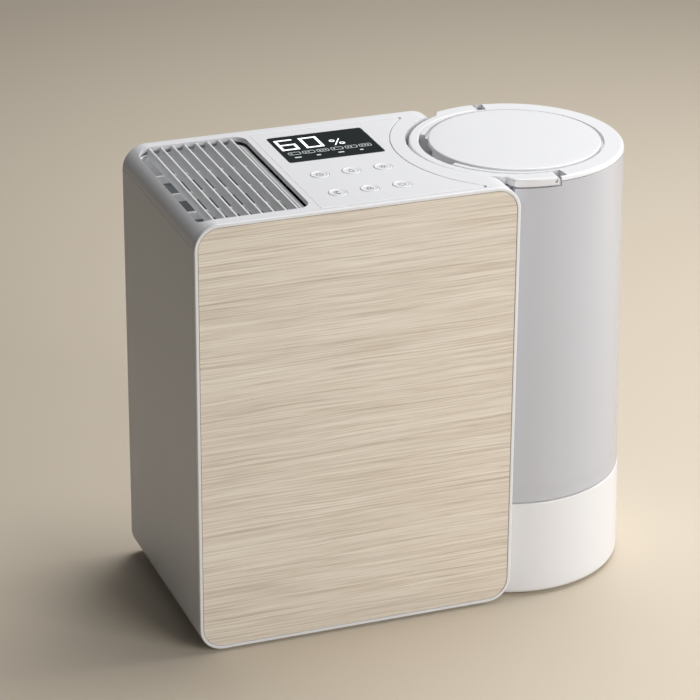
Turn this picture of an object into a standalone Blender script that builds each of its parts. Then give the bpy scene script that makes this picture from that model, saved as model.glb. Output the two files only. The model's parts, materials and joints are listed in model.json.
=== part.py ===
"""Cool mist humidifier: box body with a wood-grain front, top outlet, control panel and side tank.

Metres, +X right, +Y back, +Z up. The origin is on the floor under the middle of the whole object.
"""

import math

import bmesh
import bpy
from mathutils import Matrix, Vector

# Body
WIDTH = 0.2400
LEFT = -0.1788
RIGHT = LEFT + WIDTH
FRONT = -0.0879
BACK = 0.0831
UNDERSIDE = 0.0020
TOP = 0.3290
CORNER = 0.0180
WALL = 0.0025
DECK = 0.0035
GAP = 0.0003
COVER_DEPTH = 0.0032
PANEL_RECESS = 0.0014
COVER_SEAM = 0.3122
HORN_ROUND = 0.0070

# Tank and base: both are round about this vertical axis
TANK_X = 0.0915
TANK_Y = 0.0006
NOTCH_R = 0.0775
NOTCH_FOOT = 0.0772
TANK_INNER_ARC = 0.0753
TANK_TOP_R = 0.0810
TANK_SLOPE = 0.0190
TANK_STEP_X = RIGHT + 0.0005
TANK_WALL = 0.0022
TANK_FOOT = 0.0764
TANK_FLOOR = 0.0820
TANK_RIM = 0.3246
TANK_BED = 0.3212
RING_FOOT = 0.3120
RING_SHOULDER = 0.3249
RING_TOP = 0.3280
BASE_R = 0.0873
BASE_TOP = 0.0760
BASE_ROUND = 0.0040
WELL_R = 0.0270

# Lid and handle
LID_X = TANK_X + 0.0020
LID_R = 0.0632
LID_TOP = 0.3293
LID_FOOT = 0.3250
LID_SEAT_R = 0.0652
MOUTH_R = 0.0547
HANDLE_IN = 0.0676
HANDLE_OUT = 0.0749
HANDLE_RIM_R = 0.0807
HANDLE_FOOT = 0.3217
HANDLE_TOP = 0.3279
PIN_Z = 0.5 * (HANDLE_FOOT + HANDLE_TOP)
PIN_R = 0.0015
HANDLE_BED = (83.5, 276.5)

# Air outlet
OUTLET_X = (LEFT + 0.0075, LEFT + 0.0885)
OUTLET_Y = (FRONT + 0.0105, FRONT + 0.1600)
OUTLET_ROUND = 0.0100
SLATS = 8
SLAT_FIRST_X = LEFT + 0.0180
SLAT_PITCH = 0.00873
SLAT_THICK = 0.0016
SLAT_TOP = 0.3280
SLAT_HEIGHT = 0.0140
RIBS = 3

# Control panel
PLATE_LEFT = LEFT + 0.0930
PLATE_FRONT = FRONT + 0.0052
PLATE_BACK = FRONT + 0.1585
PLATE_ARC_CENTRE = (LEFT + 0.2840, FRONT + 0.0845)
PLATE_ARC_R = 0.1033
PLATE_RECESS = 0.0021
PLATE_GAP = 0.0006
DISPLAY_X = (LEFT + 0.1019, LEFT + 0.1749)
DISPLAY_Y = (FRONT + 0.0947, FRONT + 0.1484)
BUTTON_COLUMNS = (LEFT + 0.1142, LEFT + 0.1378, LEFT + 0.1619)
BUTTON_ROWS = (FRONT + 0.0666, FRONT + 0.0296)
BUTTON_NAMES = (("timer", "humidity", "light"), ("mode", "speed", "power"))
BUTTON_R = 0.0067
BUTTON_HOLE_R = 0.0070
BOARD_TOP = 0.3210
BOARD_THICK = 0.0016

# Fan: its shaft lies along Y
FAN_X = -0.1180
FAN_Z = 0.1900
SCROLL_Y = (-0.0700, -0.0140)
SCROLL_START_R = 0.0400
SCROLL_END_R = 0.0545
BLADES = 15
IMPELLER_R = 0.0340

# Water tray inside the body
TRAY_X = (-0.1600, TANK_X)
TRAY_Y = (-0.0620, 0.0600)
TRAY_FLOOR = 0.0075
TRAY_TOP = 0.0580
FLOAT_X = -0.0200
FLOAT_Y = -0.0300

# Rear
INLET_X = (-0.1560, -0.0140)
INLET_Z = (0.0660, 0.2860)
SOCKET_X = 0.0080
SOCKET_Z = 0.0330

ROUND = 48
SMALL_ROUND = 20


# ---------------------------------------------------------------- materials and objects


def material(name, colour, roughness, metallic=0.0, alpha=1.0):
    made = bpy.data.materials.new(name)
    made.use_nodes = True
    shader = made.node_tree.nodes["Principled BSDF"]
    shader.inputs["Base Color"].default_value = (*colour, 1.0)
    shader.inputs["Roughness"].default_value = roughness
    shader.inputs["Metallic"].default_value = metallic
    shader.inputs["Alpha"].default_value = alpha
    made.diffuse_color = (*colour, alpha)
    return made


def make_materials():
    return {
        "white_plastic": material("white_plastic", (0.84, 0.84, 0.85), 0.35),
        "side_plastic": material("side_plastic", (0.62, 0.63, 0.65), 0.45),
        "wood_grain": material("wood_grain", (0.62, 0.53, 0.42), 0.60),
        "grille_plastic": material("grille_plastic", (0.72, 0.72, 0.72), 0.40),
        "black_glass": material("black_glass", (0.02, 0.03, 0.03), 0.08),
        "frosted_tank": material("frosted_tank", (0.72, 0.71, 0.76), 0.40, alpha=0.55),
        "rubber": material("rubber", (0.06, 0.06, 0.06), 0.85),
        "silicone": material("silicone", (0.75, 0.76, 0.78), 0.55),
        "steel": material("steel", (0.62, 0.62, 0.62), 0.30, 1.0),
        "inner_plastic": material("inner_plastic", (0.40, 0.42, 0.44), 0.55),
        "circuit_board": material("circuit_board", (0.03, 0.20, 0.10), 0.50),
        "wick": material("wick", (0.78, 0.82, 0.84), 0.95),
        "dust_mesh": material("dust_mesh", (0.10, 0.10, 0.11), 0.90),
    }


def clear_scene():
    for obj in list(bpy.data.objects):
        bpy.data.objects.remove(obj, do_unlink=True)


def new_object(name, bm, slot=None, pivot=(0.0, 0.0, 0.0), sharp_deg=35.0):
    """Makes an object from a bmesh drawn in world places, with its origin at the pivot."""
    bmesh.ops.recalc_face_normals(bm, faces=bm.faces)
    bmesh.ops.translate(bm, verts=bm.verts, vec=-Vector(pivot))
    mesh = bpy.data.meshes.new(name)
    bm.to_mesh(mesh)
    bm.free()
    mesh.shade_smooth()
    mesh.set_sharp_from_angle(angle=math.radians(sharp_deg))
    obj = bpy.data.objects.new(name, mesh)
    obj.location = pivot
    bpy.context.scene.collection.objects.link(obj)
    if slot is not None:
        mesh.materials.append(slot)
    return obj


def helper(name, bm):
    """A cutter or a piece to be joined: kept out of the render and out of the model."""
    obj = new_object(name, bm)
    obj.hide_render = True
    obj.display_type = "WIRE"
    return obj


def combine(obj, operation, shapes):
    """Adds one Boolean modifier for each of the (name, bmesh) shapes."""
    for name, bm in shapes:
        modifier = obj.modifiers.new(name, "BOOLEAN")
        modifier.operation = operation
        modifier.solver = "EXACT"
        modifier.object = helper(f"{obj.name}_{name}", bm)
    return obj


def cut(obj, *shapes):
    return combine(obj, "DIFFERENCE", shapes)


def join(obj, *shapes):
    return combine(obj, "UNION", shapes)


# ---------------------------------------------------------------- shapes


def arc(centre, radius, start_deg, end_deg, steps):
    """Points of an arc in a plane, both ends included."""
    angles = (start_deg + (end_deg - start_deg) * i / steps for i in range(steps + 1))
    return [
        (
            centre[0] + radius * math.cos(math.radians(a)),
            centre[1] + radius * math.sin(math.radians(a)),
        )
        for a in angles
    ]


def rounded_rectangle(span_u, span_v, radius, steps=6):
    u0, u1 = span_u
    v0, v1 = span_v
    points = []
    for cu, cv, start in (
        (u1 - radius, v1 - radius, 0),
        (u0 + radius, v1 - radius, 90),
        (u0 + radius, v0 + radius, 180),
        (u1 - radius, v0 + radius, 270),
    ):
        points += arc((cu, cv), radius, start, start + 90, steps)
    return points


def circle(centre, radius, steps=ROUND):
    return arc(centre, radius, 0, 360 - 360 / steps, steps - 1)


def placed(point, level, axis):
    """A point of a flat outline, at a level along the axis that the outline is extruded along."""
    u, v = point
    return {"X": (level, u, v), "Y": (u, level, v), "Z": (u, v, level)}[axis]


def loft(loops, axis="Z"):
    """A closed solid through (outline, level) loops of equal length, capped at both ends."""
    bm = bmesh.new()
    rings = [[bm.verts.new(placed(p, level, axis)) for p in outline] for outline, level in loops]
    for lower, upper in zip(rings, rings[1:]):
        for i in range(len(lower)):
            j = (i + 1) % len(lower)
            bm.faces.new((lower[i], lower[j], upper[j], upper[i]))
    bm.faces.new(list(reversed(rings[0])))
    bm.faces.new(rings[-1])
    return bm


def prism(outline, low, high, axis="Z"):
    return loft([(outline, low), (outline, high)], axis)


def box(span_x, span_y, span_z):
    outline = [
        (span_x[0], span_y[0]),
        (span_x[1], span_y[0]),
        (span_x[1], span_y[1]),
        (span_x[0], span_y[1]),
    ]
    return prism(outline, span_z[0], span_z[1])


def turned(profile, centre, steps=ROUND, axis="Z"):
    """Turns a closed (radius, level) profile round an axis through the centre.

    A profile that starts and ends at radius 0 gives a solid disc or knob; any other gives a ring.
    """
    bm = bmesh.new()
    rings = []
    for radius, level in profile:
        if radius == 0.0:
            rings.append([bm.verts.new(placed(centre, level, axis))])
        else:
            outline = circle(centre, radius, steps)
            rings.append([bm.verts.new(placed(p, level, axis)) for p in outline])
    solid = profile[0][0] == 0.0
    pairs = list(zip(rings, rings[1:])) if solid else list(zip(rings, rings[1:] + rings[:1]))
    for one, two in pairs:
        for i in range(steps):
            j = (i + 1) % steps
            if len(one) == 1:
                bm.faces.new((one[0], two[i], two[j]))
            elif len(two) == 1:
                bm.faces.new((one[i], one[j], two[0]))
            else:
                bm.faces.new((one[i], one[j], two[j], two[i]))
    return bm


def washer(centre, inner, outer, low, high, steps=ROUND, axis="Z"):
    profile = [(outer, low), (outer, high), (inner, high), (inner, low)]
    return turned(profile, centre, steps, axis)


def disc(centre, radius, low, high, steps=ROUND, axis="Z"):
    return prism(circle(centre, radius, steps), low, high, axis)


def ring_sector(inner, outer, start_deg, end_deg, low, high, steps=28):
    """Part of a flat ring round the tank's axis."""
    centre = (TANK_X, TANK_Y)
    outline = arc(centre, outer, start_deg, end_deg, steps)
    outline += reversed(arc(centre, inner, start_deg, end_deg, steps))
    return prism(outline, low, high)


# ---------------------------------------------------------------- body outlines


def body_plan():
    """The body seen from above: a rectangle with a round bay for the tank on its right."""
    front = FRONT + COVER_DEPTH + GAP
    half = math.degrees(math.acos((RIGHT - TANK_X) / NOTCH_R))
    points = [(LEFT, front), (RIGHT, front)]
    points += arc((TANK_X, TANK_Y), NOTCH_R, 360 - half, half, 40)
    points += arc((RIGHT - HORN_ROUND, BACK - HORN_ROUND), HORN_ROUND, 0, 90, 4)
    points.append((LEFT, BACK))
    return points


def body_section(inset=0.0, top=None):
    """The body seen from the front: a rectangle with round corners."""
    span_z = (UNDERSIDE + inset, TOP - inset if top is None else top)
    return rounded_rectangle((LEFT + inset, RIGHT - inset), span_z, CORNER - inset, 6)


def body_solid(name, slot):
    """Everything that is inside both body outlines."""
    obj = new_object(name, prism(body_plan(), UNDERSIDE, TOP), slot)
    section = prism(body_section(), FRONT - 0.01, BACK + 0.01, "Y")
    return combine(obj, "INTERSECT", [("section", section)])


def hollow_out(obj, top, back):
    """Takes out the room inside the body's walls, up to a level and back to a depth."""
    front = FRONT + COVER_DEPTH + GAP + WALL
    room = helper(f"{obj.name}_room", prism(body_section(WALL, top), front, back, "Y"))
    bay = disc((TANK_X, TANK_Y), NOTCH_R + WALL, 0.0, TOP + 0.1)
    cut(room, ("bay", bay))
    modifier = obj.modifiers.new("room", "BOOLEAN")
    modifier.operation = "DIFFERENCE"
    modifier.solver = "EXACT"
    modifier.object = room


def front_outline(inset):
    return rounded_rectangle(
        (LEFT + inset, RIGHT - inset), (UNDERSIDE + inset, TOP - inset), CORNER - inset, 6
    )


def tank_radius(z):
    """The tank tapers slightly: it is widest at its foot."""
    return TANK_TOP_R + TANK_SLOPE * (RING_TOP - z)


def tank_outline(z, inset=0.0, inner_arc=TANK_INNER_ARC):
    """The tank seen from above: full radius outside the body, a tighter arc inside the bay."""
    outer_r = tank_radius(z) - inset
    bay_r = inner_arc - inset
    step = TANK_STEP_X + inset
    outer_half = math.degrees(math.acos((step - TANK_X) / outer_r))
    bay_half = math.degrees(math.acos((step - TANK_X) / bay_r))
    centre = (TANK_X, TANK_Y)
    points = arc(centre, outer_r, -outer_half, outer_half, 34)
    points += arc(centre, bay_r, bay_half, 360 - bay_half, 22)
    return points


# ---------------------------------------------------------------- front


def make_front_cover(mats):
    """A thin tray with a raised rim, into which the wood-grain panel is set."""
    rim = 0.0025
    floor = FRONT + PANEL_RECESS
    loops = [
        (front_outline(rim), floor),
        (front_outline(rim), FRONT + 0.0002),
        (front_outline(rim - 0.0002), FRONT),
        (front_outline(0.0008), FRONT),
        (front_outline(0.0), FRONT + 0.0008),
        (front_outline(0.0), FRONT + COVER_DEPTH),
    ]
    new_object("front_cover", loft(loops, "Y"), mats["white_plastic"])


def make_wood_panel(mats):
    edge = 0.0025 + 0.0004
    loops = [
        (front_outline(edge), FRONT + PANEL_RECESS - GAP),
        (front_outline(edge), FRONT + 0.0004),
        (front_outline(edge + 0.0003), FRONT + 0.0001),
    ]
    new_object("wood_panel", loft(loops, "Y"), mats["wood_grain"])


# ---------------------------------------------------------------- shell and top cover

BOSSES = ((-0.1732, 0.2450), (-0.1732, 0.0400), (0.0350, 0.2960), (0.0350, 0.0980))


def make_main_shell(mats):
    """Left wall, front wall, floor and the wall of the tank's bay: open at the top and the back."""
    obj = body_solid("main_shell", mats["side_plastic"])
    hollow_out(obj, TOP + 0.05, BACK + 0.01)
    wide = (LEFT - 0.01, RIGHT + 0.01)
    cut(
        obj,
        ("upper", box(wide, (FRONT, BACK + 0.01), (COVER_SEAM - GAP / 2, TOP + 0.01))),
        ("rear", box(wide, (BACK - WALL - GAP, BACK + 0.01), (0.0, TOP))),
        ("base_room", disc((TANK_X, TANK_Y), BASE_R + 0.0004, -0.01, NOTCH_FOOT)),
    )
    for i, (x, z) in enumerate(BOSSES):
        join(obj, (f"boss_{i}", disc((x, z), 0.0050, BACK - 0.0245, BACK - WALL - GAP, 20, "Y")))
    for i, (x, z) in enumerate(BOSSES):
        cut(obj, (f"bore_{i}", disc((x, z), 0.0018, BACK - 0.0190, BACK, 16, "Y")))
    for name, x, y in FEET[:2]:
        cut(obj, (f"{name}_seat", disc((x, y), 0.0093, 0.0, UNDERSIDE + 0.0011, SMALL_ROUND)))


def make_top_cover(mats):
    obj = body_solid("top_cover", mats["white_plastic"])
    hollow_out(obj, TOP - DECK, BACK - WALL)
    wide = (LEFT - 0.01, RIGHT + 0.01)
    outlet = rounded_rectangle(OUTLET_X, OUTLET_Y, OUTLET_ROUND)
    recess = TOP - PLATE_RECESS
    window = rounded_rectangle(
        (DISPLAY_X[0] + 0.0025, DISPLAY_X[1] - 0.0025),
        (DISPLAY_Y[0] + 0.0025, DISPLAY_Y[1] - 0.0025),
        0.0020,
    )
    cut(
        obj,
        ("lower", box(wide, (FRONT, BACK + 0.01), (0.0, COVER_SEAM + GAP / 2))),
        ("outlet", prism(outlet, COVER_SEAM - 0.01, TOP + 0.01)),
        ("plate_recess", prism(plate_outline(-PLATE_GAP), recess, TOP + 0.01)),
        ("window", prism(window, recess - 0.01, TOP)),
    )
    for name, x, y in button_places():
        cut(obj, (f"{name}_hole", disc((x, y), 0.0040, recess - 0.01, TOP, 16)))


# ---------------------------------------------------------------- outlet grille


def make_outlet_grille(mats):
    """A collar in the outlet that carries the slats and the cross ribs under them."""
    side = 0.0015
    outer_x = (OUTLET_X[0] + GAP, OUTLET_X[1] - GAP)
    outer_y = (OUTLET_Y[0] + GAP, OUTLET_Y[1] - GAP)
    inner_x = (outer_x[0] + side, outer_x[1] - side)
    inner_y = (outer_y[0] + side, outer_y[1] - side)
    collar_foot, collar_top = 0.3000, 0.3235
    outer = rounded_rectangle(outer_x, outer_y, OUTLET_ROUND - GAP)
    inner = rounded_rectangle(inner_x, inner_y, OUTLET_ROUND - GAP - side)
    obj = new_object(
        "outlet_grille", prism(outer, collar_foot, collar_top), mats["grille_plastic"]
    )
    cut(obj, ("bore", prism(inner, collar_foot - 0.01, collar_top + 0.01)))
    slat_foot = SLAT_TOP - SLAT_HEIGHT
    pitch_y = (inner_y[1] - inner_y[0]) / (RIBS + 1)
    rib_x = (inner_x[0] - side / 2, inner_x[1] + side / 2)
    for i in range(RIBS):
        y = inner_y[0] + pitch_y * (i + 1)
        rib = box(rib_x, (y - 0.001, y + 0.001), (slat_foot + 0.0010, SLAT_TOP - 0.0070))
        join(obj, (f"rib_{i}", rib))
    slat_y = (inner_y[0] - side / 2, inner_y[1] + side / 2)
    for i in range(SLATS):
        x = SLAT_FIRST_X + SLAT_PITCH * i
        slat = box((x - SLAT_THICK / 2, x + SLAT_THICK / 2), slat_y, (slat_foot, SLAT_TOP))
        join(obj, (f"slat_{i}", slat))


# ---------------------------------------------------------------- control panel


def plate_outline(inset=0.0):
    """The control plate: straight back, front and left edges and a hollow arc beside the tank."""
    cx, cy = PLATE_ARC_CENTRE
    radius = PLATE_ARC_R + inset
    back = PLATE_BACK - inset
    front = PLATE_FRONT + inset
    top_angle = 180 - math.degrees(math.asin((back - 0.004 - cy) / radius))
    low_angle = 180 + math.degrees(math.asin((cy - front - 0.004) / radius))
    edge = arc((cx, cy), radius, top_angle, low_angle, 18)
    left = PLATE_LEFT + inset
    points = [(left, back), (left, front)]
    points += [(edge[-1][0] - 0.003, front), (edge[-1][0] - 0.0005, front + 0.0015)]
    points += reversed(edge)
    points += [(edge[0][0] - 0.0005, back - 0.0015), (edge[0][0] - 0.003, back)]
    return points


def button_places():
    for row, y in enumerate(BUTTON_ROWS):
        for column, x in enumerate(BUTTON_COLUMNS):
            yield f"button_{BUTTON_NAMES[row][column]}", x, y


def make_control_plate(mats):
    foot = TOP - PLATE_RECESS + GAP
    obj = new_object("control_plate", prism(plate_outline(), foot, TOP), mats["white_plastic"])
    window = rounded_rectangle(DISPLAY_X, DISPLAY_Y, 0.0025)
    cut(obj, ("window", prism(window, foot - 0.01, TOP + 0.01)))
    for name, x, y in button_places():
        cut(obj, (f"{name}_hole", disc((x, y), BUTTON_HOLE_R, foot - 0.01, TOP + 0.01, 32)))


def make_display(mats):
    foot = TOP - PLATE_RECESS + GAP
    glass = rounded_rectangle(
        (DISPLAY_X[0] + GAP, DISPLAY_X[1] - GAP), (DISPLAY_Y[0] + GAP, DISPLAY_Y[1] - GAP), 0.0022
    )
    new_object("display_window", prism(glass, foot, TOP - 0.0001), mats["black_glass"])
    module_x = (DISPLAY_X[0] + 0.0040, DISPLAY_X[1] - 0.0040)
    module_y = (DISPLAY_Y[0] + 0.0040, DISPLAY_Y[1] - 0.0040)
    module = prism(rounded_rectangle(module_x, module_y, 0.001), BOARD_TOP + GAP, foot - GAP)
    new_object("display_module", module, mats["inner_plastic"])


def make_buttons(mats):
    """Each cap has a raised ring round a shallow dish and a stem down to its switch."""
    foot = TOP - PLATE_RECESS + 0.0010
    proud = TOP + 0.0003
    stem_foot = BOARD_TOP + 0.0006
    profile = [
        (0.0, proud - 0.0003),
        (BUTTON_R - 0.0014, proud - 0.0003),
        (BUTTON_R - 0.0010, proud),
        (BUTTON_R - 0.0004, proud),
        (BUTTON_R, proud - 0.0004),
        (BUTTON_R, foot),
        (0.0030, foot),
        (0.0030, stem_foot),
        (0.0, stem_foot),
    ]
    for name, x, y in button_places():
        new_object(name, turned(profile, (x, y), 24), mats["white_plastic"], pivot=(x, y, TOP))


def make_control_board(mats):
    board = box(
        (LEFT + 0.0980, LEFT + 0.1820),
        (FRONT + 0.0160, FRONT + 0.1540),
        (BOARD_TOP - BOARD_THICK, BOARD_TOP),
    )
    new_object("control_board", board, mats["circuit_board"])


# ---------------------------------------------------------------- tank


def make_tank_body(mats):
    """A vessel open at the top, with a skirt below its floor and a neck for the valve."""
    inner_foot = TANK_FLOOR + 0.0030
    loops = [
        (tank_outline(TANK_FLOOR, TANK_WALL), TANK_FLOOR),
        (tank_outline(TANK_FOOT, TANK_WALL), TANK_FOOT),
        (tank_outline(TANK_FOOT), TANK_FOOT),
        (tank_outline(TANK_RIM), TANK_RIM),
        (tank_outline(TANK_RIM, TANK_WALL), TANK_RIM),
        (tank_outline(inner_foot, TANK_WALL), inner_foot),
    ]
    obj = new_object("tank_body", loft(loops), mats["frosted_tank"])
    centre = (TANK_X, TANK_Y)
    neck = disc(centre, 0.0205, 0.0720, TANK_FLOOR + 0.0010, 40)
    join(obj, ("neck", neck))
    bed = ring_sector(0.0690, 0.0850, *HANDLE_BED, TANK_BED, RING_TOP + 0.01)
    cut(obj, ("mouth", disc(centre, 0.0180, 0.0600, 0.1000, 40)), ("handle_bed", bed))


def make_tank_top_ring(mats):
    centre = (TANK_X, TANK_Y)
    edge = 0.0022
    loops = [
        (tank_outline(RING_FOOT, TANK_WALL + 0.0004), RING_FOOT),
        (tank_outline(RING_SHOULDER, TANK_WALL + 0.0004), RING_SHOULDER),
        (tank_outline(RING_SHOULDER), RING_SHOULDER),
        (tank_outline(RING_TOP - edge), RING_TOP - edge),
        (tank_outline(RING_TOP - edge, 0.3 * edge), RING_TOP - 0.3 * edge),
        (tank_outline(RING_TOP, edge), RING_TOP),
    ]
    obj = new_object("tank_top_ring", loft(loops), mats["white_plastic"])
    above = RING_TOP + 0.01
    cut(
        obj,
        ("mouth", disc((LID_X, TANK_Y), MOUTH_R, RING_FOOT - 0.01, above)),
        ("lid_seat", disc((LID_X, TANK_Y), LID_SEAT_R, LID_FOOT - 0.0004, above)),
        ("handle_bed", ring_sector(0.0672, 0.0850, *HANDLE_BED, TANK_BED + 0.0001, above)),
        ("finger_room", ring_sector(0.0580, 0.0700, 150.0, 208.0, 0.3150, above, 14)),
    )
    for side in (-1, 1):
        span = sorted((TANK_Y + side * 0.0659, TANK_Y + side * 0.0700))
        bore = disc((TANK_X, PIN_Z), 0.0018, span[0], span[1], 20, "Y")
        cut(obj, ("pin_bore_front" if side < 0 else "pin_bore_back", bore))


def handle_outline(inset):
    """A half ring: as wide as the tank's rim outside the body, and narrower inside the bay."""
    centre = (TANK_X, TANK_Y)
    rim_r = HANDLE_RIM_R - inset
    bay_r = HANDLE_OUT - inset
    step = TANK_STEP_X + GAP + inset - TANK_X
    rim_end = math.degrees(math.acos(step / rim_r))
    bay_start = math.degrees(math.acos(step / bay_r))
    points = arc(centre, rim_r, 90, rim_end, 6)
    points += arc(centre, bay_r, bay_start, 360 - bay_start, 26)
    points += arc(centre, rim_r, 360 - rim_end, 270, 6)
    points += reversed(arc(centre, HANDLE_IN + inset, 90, 270, 34))
    return points


def make_handle(mats):
    """The carry handle: it lies in the left half of the tank's top and swings up about its pins."""
    pivot = (TANK_X, TANK_Y, PIN_Z)
    soft = 0.0008
    levels = (
        (HANDLE_FOOT, soft),
        (HANDLE_FOOT + soft, 0.0),
        (HANDLE_TOP - soft, 0.0),
        (HANDLE_TOP, soft),
    )
    loops = [(handle_outline(inset), z) for z, inset in levels]
    obj = new_object("tank_handle", loft(loops), mats["white_plastic"], pivot)
    half = 0.5 * (HANDLE_TOP - HANDLE_FOOT)
    for side in (-1, 1):
        span = sorted((TANK_Y + side * HANDLE_IN, TANK_Y + side * (HANDLE_RIM_R - 0.0012)))
        wide = sorted((TANK_Y + side * 0.0600, TANK_Y + side * 0.0850))
        name = "front" if side < 0 else "back"
        join(obj, (f"eye_{name}", disc((TANK_X, PIN_Z), half, span[0], span[1], 20, "Y")))
        cut(obj, (f"bore_{name}", disc((TANK_X, PIN_Z), PIN_R + 0.00007, *wide, 16, "Y")))
        pin_y = sorted((TANK_Y + side * 0.0661, TANK_Y + side * 0.0787))
        pin = disc((TANK_X, PIN_Z), PIN_R, *pin_y, 16, "Y")
        new_object(f"handle_pin_{name}", pin, mats["steel"])


def make_tank_lid(mats):
    """A shallow domed disc with a plug that goes into the tank's mouth."""
    plug_r = 0.0528
    profile = [
        (0.0, LID_TOP),
        (0.0300, LID_TOP - 0.0001),
        (LID_R - 0.0090, LID_TOP - 0.0004),
        (LID_R - 0.0016, LID_TOP - 0.0009),
        (LID_R - 0.0004, LID_TOP - 0.0016),
        (LID_R, LID_TOP - 0.0026),
        (LID_R - 0.0006, LID_FOOT),
        (plug_r, LID_FOOT),
        (plug_r, 0.3222),
        (plug_r - 0.0012, 0.3222),
        (plug_r - 0.0012, 0.3192),
        (plug_r, 0.3192),
        (plug_r, 0.3165),
        (plug_r - 0.0025, 0.3165),
        (plug_r - 0.0025, 0.3262),
        (0.0, 0.3262),
    ]
    pivot = (LID_X, TANK_Y, LID_FOOT)
    new_object("tank_lid", turned(profile, (LID_X, TANK_Y)), mats["white_plastic"], pivot)
    seal = [
        (plug_r - 0.0009, 0.3195),
        (plug_r + 0.0008, 0.3196),
        (plug_r + 0.0016, 0.3207),
        (plug_r + 0.0008, 0.3218),
        (plug_r - 0.0009, 0.3219),
    ]
    new_object("lid_seal", turned(seal, (LID_X, TANK_Y), 48), mats["silicone"], pivot)


# ---------------------------------------------------------------- tank valve


def make_valve(mats):
    centre = (TANK_X, TANK_Y)
    cap = [
        (0.0245, 0.0685),
        (0.0245, 0.0800),
        (0.0208, 0.0800),
        (0.0208, 0.0707),
        (0.0080, 0.0707),
        (0.0080, 0.0685),
    ]
    new_object("valve_cap", turned(cap, centre, 40), mats["inner_plastic"])
    new_object("valve_seal", washer(centre, 0.0088, 0.0112, 0.0710, 0.0720, 32), mats["rubber"])
    guide = new_object("valve_guide", disc(centre, 0.0177, 0.0812, 0.0832, 40), mats["inner_plastic"])
    cut(guide, ("bore", disc(centre, 0.0029, 0.0700, 0.0900, 20)))
    for i in range(4):
        angle = math.radians(45 + 90 * i)
        hole = (TANK_X + 0.0105 * math.cos(angle), TANK_Y + 0.0105 * math.sin(angle))
        cut(guide, (f"water_way_{i}", disc(hole, 0.0050, 0.0700, 0.0900, 20)))
    plunger = [
        (0.0, 0.0640),
        (0.0022, 0.0640),
        (0.0028, 0.0648),
        (0.0028, 0.0723),
        (0.0115, 0.0723),
        (0.0115, 0.0740),
        (0.0028, 0.0745),
        (0.0028, 0.0885),
        (0.0, 0.0890),
    ]
    pivot = (TANK_X, TANK_Y, 0.0723)
    new_object("valve_plunger", turned(plunger, centre, 24), mats["silicone"], pivot)
    make_valve_spring(mats)


def make_valve_spring(mats):
    turns, coil_r, wire_r = 3.0, 0.0055, 0.0004
    low, high = 0.0752, 0.0806
    steps = int(turns * 16)
    curve = bpy.data.curves.new("valve_spring", "CURVE")
    curve.dimensions = "3D"
    curve.bevel_depth = wire_r
    curve.bevel_resolution = 1
    curve.use_fill_caps = True
    spline = curve.splines.new("POLY")
    spline.points.add(steps)
    for i in range(steps + 1):
        part = i / steps
        angle = 2 * math.pi * turns * part
        x = TANK_X + coil_r * math.cos(angle)
        y = TANK_Y + coil_r * math.sin(angle)
        spline.points[i].co = (x, y, low + (high - low) * part, 1.0)
    curve.materials.append(mats["steel"])
    bpy.context.scene.collection.objects.link(bpy.data.objects.new("valve_spring", curve))


# ---------------------------------------------------------------- base, tray and float

FEET = (
    ("foot_left_front", -0.1500, -0.0560),
    ("foot_left_back", -0.1500, 0.0560),
    ("foot_right_front", 0.1150, -0.0560),
    ("foot_right_back", 0.1150, 0.0560),
)


def make_base(mats):
    """The round base under the tank, with the water tray that runs from it into the body."""
    centre = (TANK_X, TANK_Y)
    outer = [
        (0.0, UNDERSIDE),
        (BASE_R - BASE_ROUND, UNDERSIDE),
        (BASE_R - 0.3 * BASE_ROUND, UNDERSIDE + 0.3 * BASE_ROUND),
        (BASE_R, UNDERSIDE + BASE_ROUND),
        (BASE_R - 0.0012, BASE_TOP),
        (0.0, BASE_TOP),
    ]
    obj = new_object("base_tray", turned(outer, centre), mats["white_plastic"])
    side = 0.0025
    trough = rounded_rectangle(TRAY_X, TRAY_Y, 0.0080, 4)
    inner = rounded_rectangle(
        (TRAY_X[0] + side, TRAY_X[1]), (TRAY_Y[0] + side, TRAY_Y[1] - side), 0.0055, 4
    )
    join(obj, ("trough", prism(trough, UNDERSIDE + WALL + 0.0005, TRAY_TOP)))
    cut(
        obj,
        ("round_room", disc(centre, BASE_R - 0.0042, TRAY_FLOOR, BASE_TOP - 0.0030)),
        ("trough_room", prism(inner, TRAY_FLOOR, TRAY_TOP - 0.0001)),
        ("trough_top", box((TRAY_X[0] + side, 0.0050), (TRAY_Y[0] + side, TRAY_Y[1] - side), (0.05, 0.07))),
        ("well", disc(centre, WELL_R, 0.0500, BASE_TOP + 0.01, 40)),
    )
    join(
        obj,
        ("valve_post", disc(centre, 0.0040, TRAY_FLOOR - 0.001, 0.0637, SMALL_ROUND)),
        ("float_post", disc((FLOAT_X, FLOAT_Y), 0.0025, TRAY_FLOOR - 0.001, 0.0560, 16)),
    )
    for name, x, y in FEET[2:]:
        cut(obj, (f"{name}_seat", disc((x, y), 0.0093, 0.0, UNDERSIDE + 0.0011, SMALL_ROUND)))


def make_float(mats):
    profile = [
        (0.0032, 0.0100),
        (0.0110, 0.0100),
        (0.0120, 0.0110),
        (0.0120, 0.0230),
        (0.0110, 0.0240),
        (0.0032, 0.0240),
    ]
    pivot = (FLOAT_X, FLOAT_Y, 0.0100)
    new_object("water_float", turned(profile, (FLOAT_X, FLOAT_Y), 28), mats["inner_plastic"], pivot)


def make_feet(mats):
    profile = [
        (0.0, 0.0),
        (0.0082, 0.0),
        (0.0090, 0.0007),
        (0.0090, UNDERSIDE + 0.0008),
        (0.0, UNDERSIDE + 0.0008),
    ]
    for name, x, y in FEET:
        new_object(name, turned(profile, (x, y), SMALL_ROUND), mats["rubber"])


# ---------------------------------------------------------------- wick filter

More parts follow.
